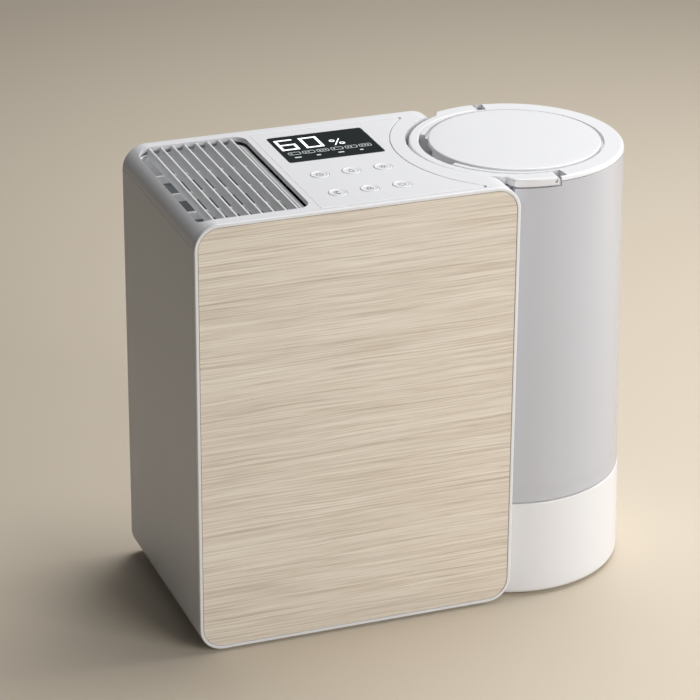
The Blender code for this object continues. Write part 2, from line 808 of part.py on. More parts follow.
FILTER_X = (-0.1530, -0.0170)
FILTER_Y = (0.0180, 0.0500)
FILTER_Z = (0.0090, 0.1900)


def make_wick_filter(mats):
    """A pleated wick that stands in the tray, inside an open frame."""
    border = 0.0030
    frame = new_object("filter_frame", box(FILTER_X, FILTER_Y, FILTER_Z), mats["inner_plastic"])
    inner_x = (FILTER_X[0] + border, FILTER_X[1] - border)
    inner_z = (FILTER_Z[0] + border, FILTER_Z[1] - border)
    cut(frame, ("opening", box(inner_x, (0.0, 0.1), inner_z)))
    bar_z = 0.5 * (FILTER_Z[0] + FILTER_Z[1])
    for i, y in enumerate((FILTER_Y[0], FILTER_Y[1] - 0.0020)):
        bar = box((inner_x[0] - 0.001, inner_x[1] + 0.001), (y, y + 0.0020), (bar_z - 0.003, bar_z + 0.003))
        join(frame, (f"bar_{i}", bar))
    pleats, sheet = 12, 0.0060
    low_x, high_x = inner_x[0] + GAP, inner_x[1] - GAP
    pitch = (high_x - low_x) / pleats
    crest = (FILTER_Y[0] + 0.0025, FILTER_Y[1] - 0.0025 - sheet)
    path = [(low_x + 0.5 * pitch * i, crest[i % 2]) for i in range(2 * pleats + 1)]
    outline = path + [(x, y + sheet) for x, y in reversed(path)]
    wick = prism(outline, inner_z[0] + GAP, inner_z[1] - GAP)
    new_object("wick_filter", wick, mats["wick"])


# ---------------------------------------------------------------- fan


def scroll_outline(extra=0.0):
    """The fan's spiral, opening into a duct that goes up on its left side. Seen from the front."""
    centre = (FAN_X, FAN_Z)
    turn = 240.0
    points = []
    for i in range(31):
        part = i / 30
        radius = SCROLL_START_R + (SCROLL_END_R - SCROLL_START_R) * part + extra
        angle = math.radians(60.0 - turn * part)
        points.append((centre[0] + radius * math.cos(angle), centre[1] + radius * math.sin(angle)))
    left = FAN_X - SCROLL_END_R - extra
    right = FAN_X + 0.5 * SCROLL_START_R + extra
    points += [(left, 0.2700), (right, 0.2700)]
    return points


def make_scroll_housing(mats):
    """Spiral, duct and the wide box under the outlet, as one hollow piece."""
    wall = 0.0018
    low_y, high_y = SCROLL_Y
    obj = new_object(
        "fan_scroll", prism(scroll_outline(wall), low_y - wall, high_y + wall, "Y"), mats["inner_plastic"]
    )
    left = FAN_X - SCROLL_END_R
    hood_x = (left, LEFT + 0.0860)
    hood_y = (OUTLET_Y[0] + 0.0030, OUTLET_Y[1] - 0.0030)
    hood = box(
        (hood_x[0] - wall, hood_x[1] + wall), (hood_y[0] - wall, hood_y[1] + wall), (0.2600, 0.2990)
    )
    join(obj, ("hood", hood))
    cut(
        obj,
        ("spiral_room", prism(scroll_outline(), low_y, high_y, "Y")),
        ("hood_room", box(hood_x, hood_y, (0.2620, 0.3100))),
        ("inlet", disc((FAN_X, FAN_Z), 0.0300, high_y - 0.005, high_y + 0.02, 40, "Y")),
    )


def make_fan(mats):
    """A squirrel-cage impeller on the motor's shaft; both turn about the Y line through the fan."""
    centre = (FAN_X, FAN_Z)
    pivot = (FAN_X, -0.0320, FAN_Z)
    plate_y = (-0.0440, -0.0420)
    ring_y = (-0.0200, -0.0180)
    obj = new_object(
        "fan_impeller",
        disc(centre, IMPELLER_R, plate_y[0], plate_y[1], 48, "Y"),
        mats["inner_plastic"],
        pivot,
    )
    join(obj, ("rim", washer(centre, IMPELLER_R - 0.0045, IMPELLER_R, ring_y[0], ring_y[1], 48, "Y")))
    join(obj, ("hub", disc(centre, 0.0060, plate_y[1] - 0.001, -0.0280, 24, "Y")))
    for i in range(BLADES):
        spin = Matrix.Rotation(2 * math.pi * i / BLADES, 2)
        blade = [(0.0300, -0.0012), (0.0332, 0.0022), (0.0327, 0.0030), (0.0295, -0.0002)]
        outline = []
        for u, v in blade:
            turned_point = spin @ Vector((u, v))
            outline.append((centre[0] + turned_point.x, centre[1] + turned_point.y))
        join(obj, (f"blade_{i}", prism(outline, plate_y[1] - 0.001, ring_y[0] + 0.001, "Y")))
    cut(obj, ("bore", disc(centre, 0.0023, -0.0500, -0.0200, 20, "Y")))
    shaft = disc(centre, 0.0020, -0.0560, -0.0265, 20, "Y")
    new_object("fan_shaft", shaft, mats["steel"], pivot)
    body = [
        (0.0, -0.0697),
        (0.0190, -0.0697),
        (0.0190, -0.0500),
        (0.0175, -0.0470),
        (0.0021, -0.0470),
        (0.0021, -0.0600),
        (0.0, -0.0600),
    ]
    new_object("fan_motor", turned(body, centre, 40, "Y"), mats["steel"])


# ---------------------------------------------------------------- rear


def make_back_panel(mats):
    """Closes the back of the shell; the rear cover plugs into its opening."""
    obj = body_solid("back_panel", mats["side_plastic"])
    wide = (LEFT - 0.01, RIGHT + 0.01)
    inlet = rounded_rectangle(INLET_X, INLET_Z, 0.0060)
    socket = rounded_rectangle(
        (SOCKET_X - 0.0125, SOCKET_X + 0.0125), (SOCKET_Z - 0.0080, SOCKET_Z + 0.0080), 0.0030
    )
    cut(
        obj,
        ("front_part", box(wide, (FRONT, BACK - WALL), (0.0, TOP + 0.01))),
        ("upper", box(wide, (FRONT, BACK + 0.01), (COVER_SEAM - GAP / 2, TOP + 0.01))),
        ("base_room", disc((TANK_X, TANK_Y), BASE_R + 0.0004, -0.01, NOTCH_FOOT)),
        ("inlet", prism(inlet, 0.0, BACK + 0.01, "Y")),
        ("socket", prism(socket, 0.0, BACK + 0.01, "Y")),
    )
    for i, (x, z) in enumerate(BOSSES):
        cut(obj, (f"hole_{i}", disc((x, z), 0.0020, 0.0700, BACK + 0.01, 16, "Y")))


def make_screws(mats):
    for i, (x, z) in enumerate(BOSSES):
        profile = [
            (0.0, BACK - 0.0180),
            (0.0015, BACK - 0.0172),
            (0.0015, BACK + GAP),
            (0.0036, BACK + GAP),
            (0.0034, BACK + 0.0016),
            (0.0022, BACK + 0.0022),
            (0.0, BACK + 0.0022),
        ]
        screw = new_object(f"screw_{i + 1}", turned(profile, (x, z), 20, "Y"), mats["steel"])
        for turn, (du, dv) in enumerate(((0.0020, 0.0004), (0.0004, 0.0020))):
            slot = box((x - du, x + du), (BACK + 0.0014, BACK + 0.0030), (z - dv, z + dv))
            cut(screw, (f"slot_{turn}", slot))


def make_rear_cover(mats):
    """A louvred plate that pulls straight off, with the dust filter clipped inside it."""
    plate_y = (BACK + GAP, BACK + 0.0035)
    outer = rounded_rectangle(
        (INLET_X[0] - 0.0060, INLET_X[1] + 0.0060), (INLET_Z[0] - 0.0060, INLET_Z[1] + 0.0060), 0.0100
    )
    soft = rounded_rectangle(
        (INLET_X[0] - 0.0050, INLET_X[1] + 0.0050), (INLET_Z[0] - 0.0050, INLET_Z[1] + 0.0050), 0.0090
    )
    loops = [(outer, plate_y[0]), (outer, plate_y[1] - 0.0010), (soft, plate_y[1])]
    obj = new_object("rear_cover", loft(loops, "Y"), mats["side_plastic"])
    plug_out = rounded_rectangle(
        (INLET_X[0] + 0.0006, INLET_X[1] - 0.0006), (INLET_Z[0] + 0.0006, INLET_Z[1] - 0.0006), 0.0054
    )
    plug_in = rounded_rectangle(
        (INLET_X[0] + 0.0026, INLET_X[1] - 0.0026), (INLET_Z[0] + 0.0026, INLET_Z[1] - 0.0026), 0.0034
    )
    join(obj, ("plug", prism(plug_out, BACK - 0.0080, plate_y[0] + 0.0005, "Y")))
    cut(obj, ("plug_room", prism(plug_in, BACK - 0.0200, plate_y[0], "Y")))
    bars, slot_half = 18, 0.0032
    low, high = INLET_Z[0] + 0.0120, INLET_Z[1] - 0.0120
    middle = 0.5 * (INLET_X[0] + INLET_X[1])
    for i in range(bars):
        z = low + (high - low) * i / (bars - 1)
        for side, span in (
            ("a", (INLET_X[0] + 0.0080, middle - 0.0030)),
            ("b", (middle + 0.0030, INLET_X[1] - 0.0080)),
        ):
            slot = box(span, (BACK - 0.01, BACK + 0.01), (z - slot_half, z + slot_half))
            cut(obj, (f"louvre_{i}{side}", slot))


def make_dust_filter(mats):
    """A fine mesh in a frame, behind the louvres."""
    frame_x = (INLET_X[0] + 0.0030, INLET_X[1] - 0.0030)
    frame_z = (INLET_Z[0] + 0.0030, INLET_Z[1] - 0.0030)
    frame = prism(rounded_rectangle(frame_x, frame_z, 0.0034, 3), BACK - 0.0050, BACK - 0.0006, "Y")
    obj = new_object("dust_filter", frame, mats["dust_mesh"])
    columns, rows, bar = 4, 6, 0.0030
    step_x = (frame_x[1] - frame_x[0] - bar) / columns
    step_z = (frame_z[1] - frame_z[0] - bar) / rows
    for i in range(columns):
        for j in range(rows):
            x = frame_x[0] + bar + step_x * i
            z = frame_z[0] + bar + step_z * j
            pocket = box(
                (x, x + step_x - bar), (BACK - 0.0100, BACK - 0.0014), (z, z + step_z - bar)
            )
            cut(obj, (f"pocket_{i}_{j}", pocket))


def make_power_inlet(mats):
    """A two-pin mains inlet in the back panel and the power board beside it."""
    outer = rounded_rectangle(
        (SOCKET_X - 0.0122, SOCKET_X + 0.0122), (SOCKET_Z - 0.0077, SOCKET_Z + 0.0077), 0.0027
    )
    room = rounded_rectangle(
        (SOCKET_X - 0.0088, SOCKET_X + 0.0088), (SOCKET_Z - 0.0046, SOCKET_Z + 0.0046), 0.0040
    )
    depth = BACK - 0.0160
    obj = new_object("inlet_socket", prism(outer, depth, BACK + 0.0004, "Y"), mats["rubber"])
    cut(obj, ("room", prism(room, depth + 0.0040, BACK + 0.01, "Y")))
    for name, offset in (("left", -0.0043), ("right", 0.0043)):
        place = (SOCKET_X + offset, SOCKET_Z)
        cut(obj, (f"{name}_bore", disc(place, 0.0014, depth - 0.01, depth + 0.01, 16, "Y")))
        pin = disc(place, 0.0011, depth - 0.0010, BACK - 0.0030, 16, "Y")
        new_object(f"inlet_pin_{name}", pin, mats["steel"])
    board = box((-0.0900, -0.0070), (0.0690, 0.0706), (0.0110, 0.0540))
    new_object("power_board", board, mats["circuit_board"])


# ---------------------------------------------------------------- the whole object


def hang(name, place, pieces):
    """Parents the pieces that move together to an empty on their line of travel."""
    empty = bpy.data.objects.new(name, None)
    empty.location = place
    bpy.context.scene.collection.objects.link(empty)
    for piece in pieces:
        child = bpy.data.objects[piece]
        child.parent = empty
        child.matrix_parent_inverse = Matrix.Translation(-Vector(place))


def main():
    clear_scene()
    mats = make_materials()
    make_front_cover(mats)
    make_wood_panel(mats)
    make_main_shell(mats)
    make_top_cover(mats)
    make_outlet_grille(mats)
    make_control_plate(mats)
    make_display(mats)
    make_buttons(mats)
    make_control_board(mats)
    make_tank_body(mats)
    make_tank_top_ring(mats)
    make_handle(mats)
    make_tank_lid(mats)
    make_valve(mats)
    make_base(mats)
    make_float(mats)
    make_feet(mats)
    make_wick_filter(mats)
    make_scroll_housing(mats)
    make_fan(mats)
    make_back_panel(mats)
    make_screws(mats)
    make_rear_cover(mats)
    make_dust_filter(mats)
    make_power_inlet(mats)
    tank = ["tank_body", "tank_top_ring", "handle_pin_front", "handle_pin_back"]
    tank += ["valve_cap", "valve_guide", "valve_seal", "valve_spring"]
    hang("tank_lift_axis", (TANK_X, TANK_Y, TANK_FOOT), tank)
    hang("rear_cover_axis", (sum(INLET_X) / 2, BACK, sum(INLET_Z) / 2), ["rear_cover", "dust_filter"])


main()
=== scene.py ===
"""The looks of the cool mist humidifier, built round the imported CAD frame."""

import json
import math

import bmesh
import bpy
from mathutils import Matrix, Vector, noise


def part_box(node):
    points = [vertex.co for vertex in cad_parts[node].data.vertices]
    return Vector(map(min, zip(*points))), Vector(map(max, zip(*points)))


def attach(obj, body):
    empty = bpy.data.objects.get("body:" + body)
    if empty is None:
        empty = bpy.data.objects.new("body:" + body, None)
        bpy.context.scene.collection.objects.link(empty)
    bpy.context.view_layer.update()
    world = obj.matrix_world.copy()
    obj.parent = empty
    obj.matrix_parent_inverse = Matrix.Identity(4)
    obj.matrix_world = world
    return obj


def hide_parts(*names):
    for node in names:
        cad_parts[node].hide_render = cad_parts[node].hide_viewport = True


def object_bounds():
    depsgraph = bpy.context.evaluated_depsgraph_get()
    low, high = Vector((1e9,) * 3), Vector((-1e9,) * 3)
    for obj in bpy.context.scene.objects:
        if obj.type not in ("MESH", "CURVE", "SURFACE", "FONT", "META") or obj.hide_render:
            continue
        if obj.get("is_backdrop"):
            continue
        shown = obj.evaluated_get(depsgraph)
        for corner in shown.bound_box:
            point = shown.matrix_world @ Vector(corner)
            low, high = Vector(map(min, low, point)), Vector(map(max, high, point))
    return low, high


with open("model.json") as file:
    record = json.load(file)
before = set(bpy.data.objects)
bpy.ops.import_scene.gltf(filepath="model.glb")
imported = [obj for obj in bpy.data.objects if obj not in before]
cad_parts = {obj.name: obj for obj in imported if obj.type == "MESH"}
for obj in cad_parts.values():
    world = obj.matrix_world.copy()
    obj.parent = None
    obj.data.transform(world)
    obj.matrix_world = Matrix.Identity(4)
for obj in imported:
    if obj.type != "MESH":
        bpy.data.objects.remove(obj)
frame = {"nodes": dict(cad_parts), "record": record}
size_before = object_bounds()

# ---------------------------------------------------------------- sizes, some read from the frame and the rest given

COVER_LO, COVER_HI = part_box("front_cover")
DECK_LO, DECK_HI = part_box("top_cover")
SHELL_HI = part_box("main_shell")[1]
BASE_LO, BASE_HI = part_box("base_tray")
TANK_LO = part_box("tank_body")[0]
RING_LO, RING_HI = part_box("tank_top_ring")
HANDLE_LO, HANDLE_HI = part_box("tank_handle")
LID_LO, LID_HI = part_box("tank_lid")
GLASS_LO, GLASS_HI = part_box("display_window")
PLATE_LO, PLATE_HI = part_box("control_plate")
GRILLE_LO, GRILLE_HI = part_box("outlet_grille")
REAR_LO, REAR_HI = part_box("rear_cover")
SOCKET_LO, SOCKET_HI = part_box("inlet_socket")

LEFT, RIGHT = COVER_LO.x, COVER_HI.x
FRONT, BACK = COVER_LO.y, DECK_HI.y
UNDERSIDE, TOP = COVER_LO.z, COVER_HI.z
SEAM = DECK_LO.z
CORNER = 0.0180
WALL = 0.0025
COVER_DEPTH = 0.0032
DECK = 0.0035
GAP = 0.0003
RIM = 0.0025
BACK_ROUND = 0.0030
PLATE_GAP = 0.0006

BASE_R = 0.5 * (BASE_HI.y - BASE_LO.y)
AXIS = (BASE_HI.x - BASE_R, 0.5 * (BASE_HI.y + BASE_LO.y))
BASE_TOP = BASE_HI.z
NOTCH_R = 0.0775
NOTCH_FOOT = BASE_TOP + 0.0012
TANK_FOOT = BASE_TOP + 0.0004
TANK_FLOOR = TANK_FOOT + 0.0056
TANK_WALL = 0.0022
TANK_STEP_X = RIGHT + 0.0005
BAY_ARC_R = AXIS[0] - TANK_LO.x
TOP_RADIUS = 0.0810
TANK_SLOPE = 0.0190
RING_TOP = RING_HI.z
RING_SHOULDER = RING_TOP - 0.0031
TANK_RIM = RING_SHOULDER - 0.0003
HANDLE_OUT = AXIS[0] - HANDLE_LO.x
HANDLE_IN = HANDLE_OUT - 0.0073
HANDLE_RIM_R = 0.5 * (HANDLE_HI.y - HANDLE_LO.y)
HANDLE_BED = (83.5, 276.5)
LIP_ENDS = (87.3, 272.7)
LIP_R = 0.0790
BEYOND_RIM = 0.0850
MOUTH_R = 0.0547
TANK_BED = HANDLE_LO.z - 0.0005
PIN_Z = 0.5 * (HANDLE_LO.z + HANDLE_HI.z)
LID_R = 0.5 * (LID_HI.x - LID_LO.x)
LID_CENTRE = (LID_LO.x + LID_R, AXIS[1])
WATER_LEVEL = UNDERSIDE + 0.2675

SLATS = 8
SLAT_PITCH = 0.00873
SLAT_THICK = 0.0019
SLAT_FOOT = TOP - 0.0062
SLAT_LEAN = 0.0020
RIBS = 3
RIB_HALF = 0.0009
LOUVRES = 18
LOUVRE_HALF = 0.0032
PLATE_ARC_CENTRE = (LEFT + 0.2840, FRONT + 0.0845)
PLATE_ARC_R = 0.1033
FOOT_POCKET_R = 0.0093
FOOT_POCKET_TOP = UNDERSIDE + 0.0011
LID_PLUG_R = 0.0528
SEAL_GROOVE = (0.3192, 0.3222)
PLUG_CEILING = 0.3262
BUTTONS = ("timer", "humidity", "light", "mode", "speed", "power")
SCREWS = ("screw_1", "screw_2", "screw_3", "screw_4")
FEET = ("foot_left_front", "foot_left_back", "foot_right_front", "foot_right_back")
CAMERA_PLACE = (-0.7730, -1.9695, 1.1171)
CAMERA_TURN = (20.590, 24.000, 0.334)
CAMERA_LENS = 162.1


# ---------------------------------------------------------------- shapes

CUT, JOIN = "DIFFERENCE", "UNION"


def arc(centre, radius, start_deg, end_deg, steps):
    """Points of an arc in a plane, both ends included."""
    points = []
    for i in range(steps + 1):
        angle = math.radians(start_deg + (end_deg - start_deg) * i / steps)
        points.append((centre[0] + radius * math.cos(angle), centre[1] + radius * math.sin(angle)))
    return points


def circle(centre, radius, steps=96):
    return arc(centre, radius, 0, 360 - 360 / steps, steps - 1)


def rounded_rectangle(span_u, span_v, radius, steps=12):
    u0, u1 = span_u
    v0, v1 = span_v
    points = []
    for cu, cv, start in (
        (u1 - radius, v1 - radius, 0),
        (u0 + radius, v1 - radius, 90),
        (u0 + radius, v0 + radius, 180),
        (u1 - radius, v0 + radius, 270),
    ):
        points += arc((cu, cv), radius, start, start + 90, steps)
    return points


def placed(point, level, axis):
    u, v = point
    return {"X": (level, u, v), "Y": (u, level, v), "Z": (u, v, level)}[axis]


def loft(loops, axis="Z"):
    """A closed solid through (outline, level) loops of equal length, capped at both ends."""
    bm = bmesh.new()
    rings = [[bm.verts.new(placed(p, level, axis)) for p in outline] for outline, level in loops]
    for lower, upper in zip(rings, rings[1:]):
        for i in range(len(lower)):
            j = (i + 1) % len(lower)
            bm.faces.new((lower[i], lower[j], upper[j], upper[i]))
    bm.faces.new(list(reversed(rings[0])))
    bm.faces.new(rings[-1])
    bmesh.ops.recalc_face_normals(bm, faces=bm.faces)
    return bm


def prism(outline, low, high, axis="Z"):
    return loft([(outline, low), (outline, high)], axis)


def box(span_x, span_y, span_z):
    outline = [(span_x[0], span_y[0]), (span_x[1], span_y[0]), (span_x[1], span_y[1]), (span_x[0], span_y[1])]
    return prism(outline, span_z[0], span_z[1])


def disc(centre, radius, low, high, steps=96, axis="Z"):
    return prism(circle(centre, radius, steps), low, high, axis)


def turned(profile, centre, steps=96, axis="Z"):
    """Turns a (radius, level) profile round an axis; one that starts and ends at radius 0 is solid."""
    bm = bmesh.new()
    rings = []
    for radius, level in profile:
        outline = [centre] if radius == 0.0 else circle(centre, radius, steps)
        rings.append([bm.verts.new(placed(p, level, axis)) for p in outline])
    pairs = list(zip(rings, rings[1:]))
    if profile[0][0] != 0.0:
        pairs.append((rings[-1], rings[0]))
    for one, two in pairs:
        for i in range(steps):
            j = (i + 1) % steps
            if len(one) == 1:
                bm.faces.new((one[0], two[i], two[j]))
            elif len(two) == 1:
                bm.faces.new((one[i], one[j], two[0]))
            else:
                bm.faces.new((one[i], one[j], two[j], two[i]))
    bmesh.ops.recalc_face_normals(bm, faces=bm.faces)
    return bm


def ring_sector(inner, outer, start_deg, end_deg, low, high, steps=90):
    outline = arc(AXIS, outer, start_deg, end_deg, steps)
    outline += reversed(arc(AXIS, inner, start_deg, end_deg, steps))
    return prism(outline, low, high)


def fillet(radius, steps=5):
    """(inset, rise) pairs of a quarter round, from the wall up to the flat."""
    pairs = []
    for i in range(steps + 1):
        angle = math.radians(90 * i / steps)
        pairs.append((radius * (1 - math.cos(angle)), radius * math.sin(angle)))
    return pairs


def ribbon(points, width):
    """The outline of a stroke of even width along a line of points."""
    left, right = [], []
    for i, point in enumerate(points):
        before = Vector(points[max(i - 1, 0)])
        after = Vector(points[min(i + 1, len(points) - 1)])
        along = (after - before).normalized()
        side = Vector((-along.y, along.x)) * (0.5 * width)
        left.append((point[0] + side.x, point[1] + side.y))
        right.append((point[0] - side.x, point[1] - side.y))
    return left + right[::-1]


def merged(*shapes):
    """Several closed shapes in one mesh."""
    total = bmesh.new()
    for shape in shapes:
        mesh = bpy.data.meshes.new("part")
        shape.to_mesh(mesh)
        shape.free()
        total.from_mesh(mesh)
        bpy.data.meshes.remove(mesh)
    return total


def temporary(bm):
    mesh = bpy.data.meshes.new("helper")
    bm.to_mesh(mesh)
    bm.free()
    obj = bpy.data.objects.new("helper", mesh)
    bpy.context.scene.collection.objects.link(obj)
    return obj


def carved(bm, *steps):
    """The bmesh after each (operation, bmesh) Boolean, in turn."""
    obj = temporary(bm)
    helpers = [obj]
    for operation, shape in steps:
        other = temporary(shape)
        helpers.append(other)
        modifier = obj.modifiers.new(operation, "BOOLEAN")
        modifier.operation = operation
        modifier.solver = "EXACT"
        modifier.object = other
    bpy.context.view_layer.update()
    graph = bpy.context.evaluated_depsgraph_get()
    mesh = bpy.data.meshes.new_from_object(obj.evaluated_get(graph))
    result = bmesh.new()
    result.from_mesh(mesh)
    bpy.data.meshes.remove(mesh)
    for helper in helpers:
        data = helper.data
        bpy.data.objects.remove(helper, do_unlink=True)
        bpy.data.meshes.remove(data)
    bmesh.ops.remove_doubles(result, verts=result.verts, dist=0.000004)
    return result


def soften(bm, width, where, segments=3, angle_deg=40.0):
    """Rounds the sharp edges whose two ends both satisfy where(point)."""
    limit = math.radians(angle_deg)
    edges = []
    for edge in bm.edges:
        if len(edge.link_faces) != 2 or edge.calc_face_angle(0.0) < limit:
            continue
        if all(where(v.co) for v in edge.verts):
            edges.append(edge)
    if edges:
        bmesh.ops.bevel(
            bm, geom=edges, offset=width, offset_type="OFFSET", segments=segments,
            profile=0.5, affect="EDGES", clamp_overlap=True,
        )
    return bm


def near(value, target, slack=0.00004):
    return abs(value - target) < slack


def from_axis(point, centre=AXIS):
    return math.hypot(point.x - centre[0], point.y - centre[1])


def middle(low, high, axes="xy"):
    """The middle of a box along the named axes."""
    return tuple(0.5 * (getattr(low, axis) + getattr(high, axis)) for axis in axes)


def piece(name, bm, look, body, nodes, sharp_deg=32.0):
    """Makes a shown piece from a bmesh, in place of the CAD nodes that it stands for."""
    bmesh.ops.recalc_face_normals(bm, faces=bm.faces)
    mesh = bpy.data.meshes.new(name)
    bm.to_mesh(mesh)
    bm.free()
    mesh.shade_smooth()
    mesh.set_sharp_from_angle(angle=math.radians(sharp_deg))
    mesh.materials.append(look)
    obj = bpy.data.objects.new(name, mesh)
    bpy.context.scene.collection.objects.link(obj)
    normals = obj.modifiers.new("even_normals", "WEIGHTED_NORMAL")
    normals.keep_sharp = True
    if nodes:
        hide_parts(*nodes)
    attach(obj, body)
    return obj


# ---------------------------------------------------------------- materials


class Look:
    """A material being wired up round its Principled shader."""

    def __init__(self, name, roughness, **values):
        self.material = bpy.data.materials.new(name)
        self.material.use_nodes = True
        self.tree = self.material.node_tree
        self.shader = self.tree.nodes["Principled BSDF"]
        self.shader.inputs["Roughness"].default_value = roughness
        for key, value in values.items():
            self.shader.inputs[key.replace("_", " ")].default_value = value
        self.coordinates = self.tree.nodes.new("ShaderNodeTexCoord").outputs["Object"]

    def link(self, output, socket):
        self.tree.links.new(output, socket)

    def mapped(self, scale, source=None):
        node = self.tree.nodes.new("ShaderNodeMapping")
        node.inputs["Scale"].default_value = scale
        self.link(source or self.coordinates, node.inputs["Vector"])
        return node.outputs["Vector"]

    def noise(self, scale, detail=3.0, roughness=0.5, distortion=0.0, source=None):
        node = self.tree.nodes.new("ShaderNodeTexNoise")
        node.inputs["Scale"].default_value = scale
        node.inputs["Detail"].default_value = detail
        node.inputs["Roughness"].default_value = roughness
        node.inputs["Distortion"].default_value = distortion
        self.link(source or self.coordinates, node.inputs["Vector"])
        return node.outputs["Fac"]

    def ramp(self, factor, stops):
        node = self.tree.nodes.new("ShaderNodeValToRGB")
        elements = node.color_ramp.elements
        while len(elements) < len(stops):
            elements.new(0.5)
        for element, (place, colour) in zip(elements, stops):
            element.position = place
            element.color = (*colour, 1.0)
        self.link(factor, node.inputs["Fac"])
        return node.outputs["Color"]

    def bump(self, height, strength, distance):
        node = self.tree.nodes.new("ShaderNodeBump")
        node.inputs["Strength"].default_value = strength
        node.inputs["Distance"].default_value = distance
        self.link(height, node.inputs["Height"])
        self.link(node.outputs["Normal"], self.shader.inputs["Normal"])

    def multiplied(self, one, two):
        node = self.tree.nodes.new("ShaderNodeMix")
        node.data_type = "RGBA"
        node.blend_type = "MULTIPLY"
        node.inputs["Factor"].default_value = 1.0
        self.link(one, node.inputs["A"])
        self.link(two, node.inputs["B"])
        return node.outputs["Result"]

    def colour(self, output):
        self.link(output, self.shader.inputs["Base Color"])


def shade(colour, factor):
    return tuple(min(1.0, c * factor) for c in colour)


def mottled(name, colour, roughness, spread=0.02, patch=14.0, grain=1400.0, relief=0.10, **values):
    """Moulded plastic or metal: a faint drift of tone and a fine surface grain."""
    look = Look(name, roughness, **values)
    tone = look.noise(patch, 2.0)
    look.colour(look.ramp(tone, [(0.3, shade(colour, 1 - spread)), (0.7, shade(colour, 1 + spread))]))
    look.bump(look.noise(grain, 4.0, 0.6), relief, 0.00012)
    return look.material


def wood_look():
    """Pale ash: fine, nearly straight lines along X with darker pores."""
    look = Look("wood_grain_look", 0.52)
    wave = look.noise(9.0, 2.0, 0.5, 0.0, look.mapped((1.0, 0.0, 2.2)))
    add = look.tree.nodes.new("ShaderNodeVectorMath")
    add.operation = "MULTIPLY_ADD"
    look.link(wave, add.inputs[0])
    add.inputs[1].default_value = (0.0, 0.0, 0.004)
    look.link(look.coordinates, add.inputs[2])
    warped = add.outputs["Vector"]
    lines = look.noise(1.0, 5.0, 0.62, 0.3, look.mapped((10.0, 10.0, 820.0), warped))
    broad = look.noise(1.0, 2.0, 0.5, 0.0, look.mapped((3.0, 3.0, 75.0), warped))
    pores = look.noise(1.0, 3.0, 0.6, 0.0, look.mapped((30.0, 30.0, 1500.0), warped))
    stops = [
        (0.32, (0.580, 0.500, 0.405)),
        (0.47, (0.755, 0.675, 0.570)),
        (0.62, (0.860, 0.790, 0.690)),
    ]
    broad_tone = look.ramp(broad, [(0.35, (0.94, 0.93, 0.92)), (0.65, (1.0, 1.0, 1.0))])
    pore_tone = look.ramp(pores, [(0.34, (0.90, 0.88, 0.85)), (0.46, (1.0, 1.0, 1.0))])
    base_tone = look.multiplied(look.ramp(lines, stops), broad_tone)
    look.colour(look.multiplied(base_tone, pore_tone))
    look.bump(lines, 0.25, 0.0002)
    return look.material


def fibre_look(name, dark, light, pitch):
    look = Look(name, 0.9)
    threads = look.noise(1.0, 4.0, 0.7, 0.5, look.mapped((pitch, pitch, pitch * 0.2)))
    look.colour(look.ramp(threads, [(0.35, dark), (0.65, light)]))
    look.bump(threads, 0.6, 0.0005)
    return look.material


def board_look():
    look = Look("circuit_board_look", 0.42)
    node = look.tree.nodes.new("ShaderNodeTexVoronoi")
    node.inputs["Scale"].default_value = 160.0
    look.link(look.coordinates, node.inputs["Vector"])
    stops = [(0.10, (0.30, 0.27, 0.10)), (0.18, (0.02, 0.15, 0.07)), (0.6, (0.03, 0.21, 0.10))]
    look.colour(look.ramp(node.outputs["Distance"], stops))
    look.bump(node.outputs["Distance"], 0.3, 0.0003)
    return look.material


def lit_look(name, colour, strength):
    """A lit segment behind the glass, a little uneven as real ones are."""
    look = Look(name, 0.5, Emission_Strength=strength)
    tone = look.ramp(look.noise(260.0, 2.0), [(0.3, shade(colour, 0.93)), (0.7, colour)])
    look.colour(tone)
    look.link(tone, look.shader.inputs["Emission Color"])
    return look.material


def make_looks():
    return {
        "white": mottled(
            "white_plastic_look", (0.80, 0.80, 0.815), 0.36, 0.012, relief=0.06, Coat_Weight=0.15
        ),
        # The side look is the white plastic painted darker: painted shade for the shadowed left side of the
        # body, also used on the back panel and rear cover.
        "side": mottled("shaded_white_plastic_look", (0.68, 0.685, 0.70), 0.42, 0.012, relief=0.10),
        "wood": wood_look(),
        "grille": mottled("grille_plastic_look", (0.86, 0.86, 0.865), 0.40, 0.015, relief=0.06),
        "glass": mottled(
            "black_glass_look", (0.012, 0.016, 0.017), 0.10, 0.2, relief=0.01, Coat_Weight=0.6
        ),
        "tank": mottled(
            "frosted_tank_look", (0.655, 0.665, 0.715), 0.24, 0.010, 9.0, 900.0, 0.05,
            Alpha=0.80, Coat_Weight=0.6, Coat_Roughness=0.05,
        ),
        "water": mottled("water_look", (0.24, 0.25, 0.28), 0.05, 0.03, 30.0, 60.0, 0.02, IOR=1.33),
        "rubber": mottled("rubber_look", (0.045, 0.045, 0.047), 0.80, 0.15, relief=0.4),
        "silicone": mottled("silicone_look", (0.70, 0.71, 0.73), 0.50, 0.03, relief=0.1),
        "steel": mottled("steel_look", (0.60, 0.60, 0.61), 0.28, 0.05, 300.0, 2600.0, 0.2, Metallic=1.0),
        "inner": mottled("inner_plastic_look", (0.40, 0.42, 0.44), 0.50, 0.03, relief=0.2),
        "board": board_look(),
        "wick": fibre_look("wick_look", (0.60, 0.66, 0.70), (0.86, 0.89, 0.90), 900.0),
        "mesh": fibre_look("dust_mesh_look", (0.05, 0.05, 0.055), (0.16, 0.16, 0.17), 1800.0),
        "digit": lit_look("digit_look", (0.95, 1.0, 1.0), 0.85),
        "mark": lit_look("mark_look", (0.62, 0.68, 0.68), 0.25),
        "print": mottled("print_look", (0.13, 0.13, 0.145), 0.45, 0.08, relief=0.02),
    }


# ---------------------------------------------------------------- body


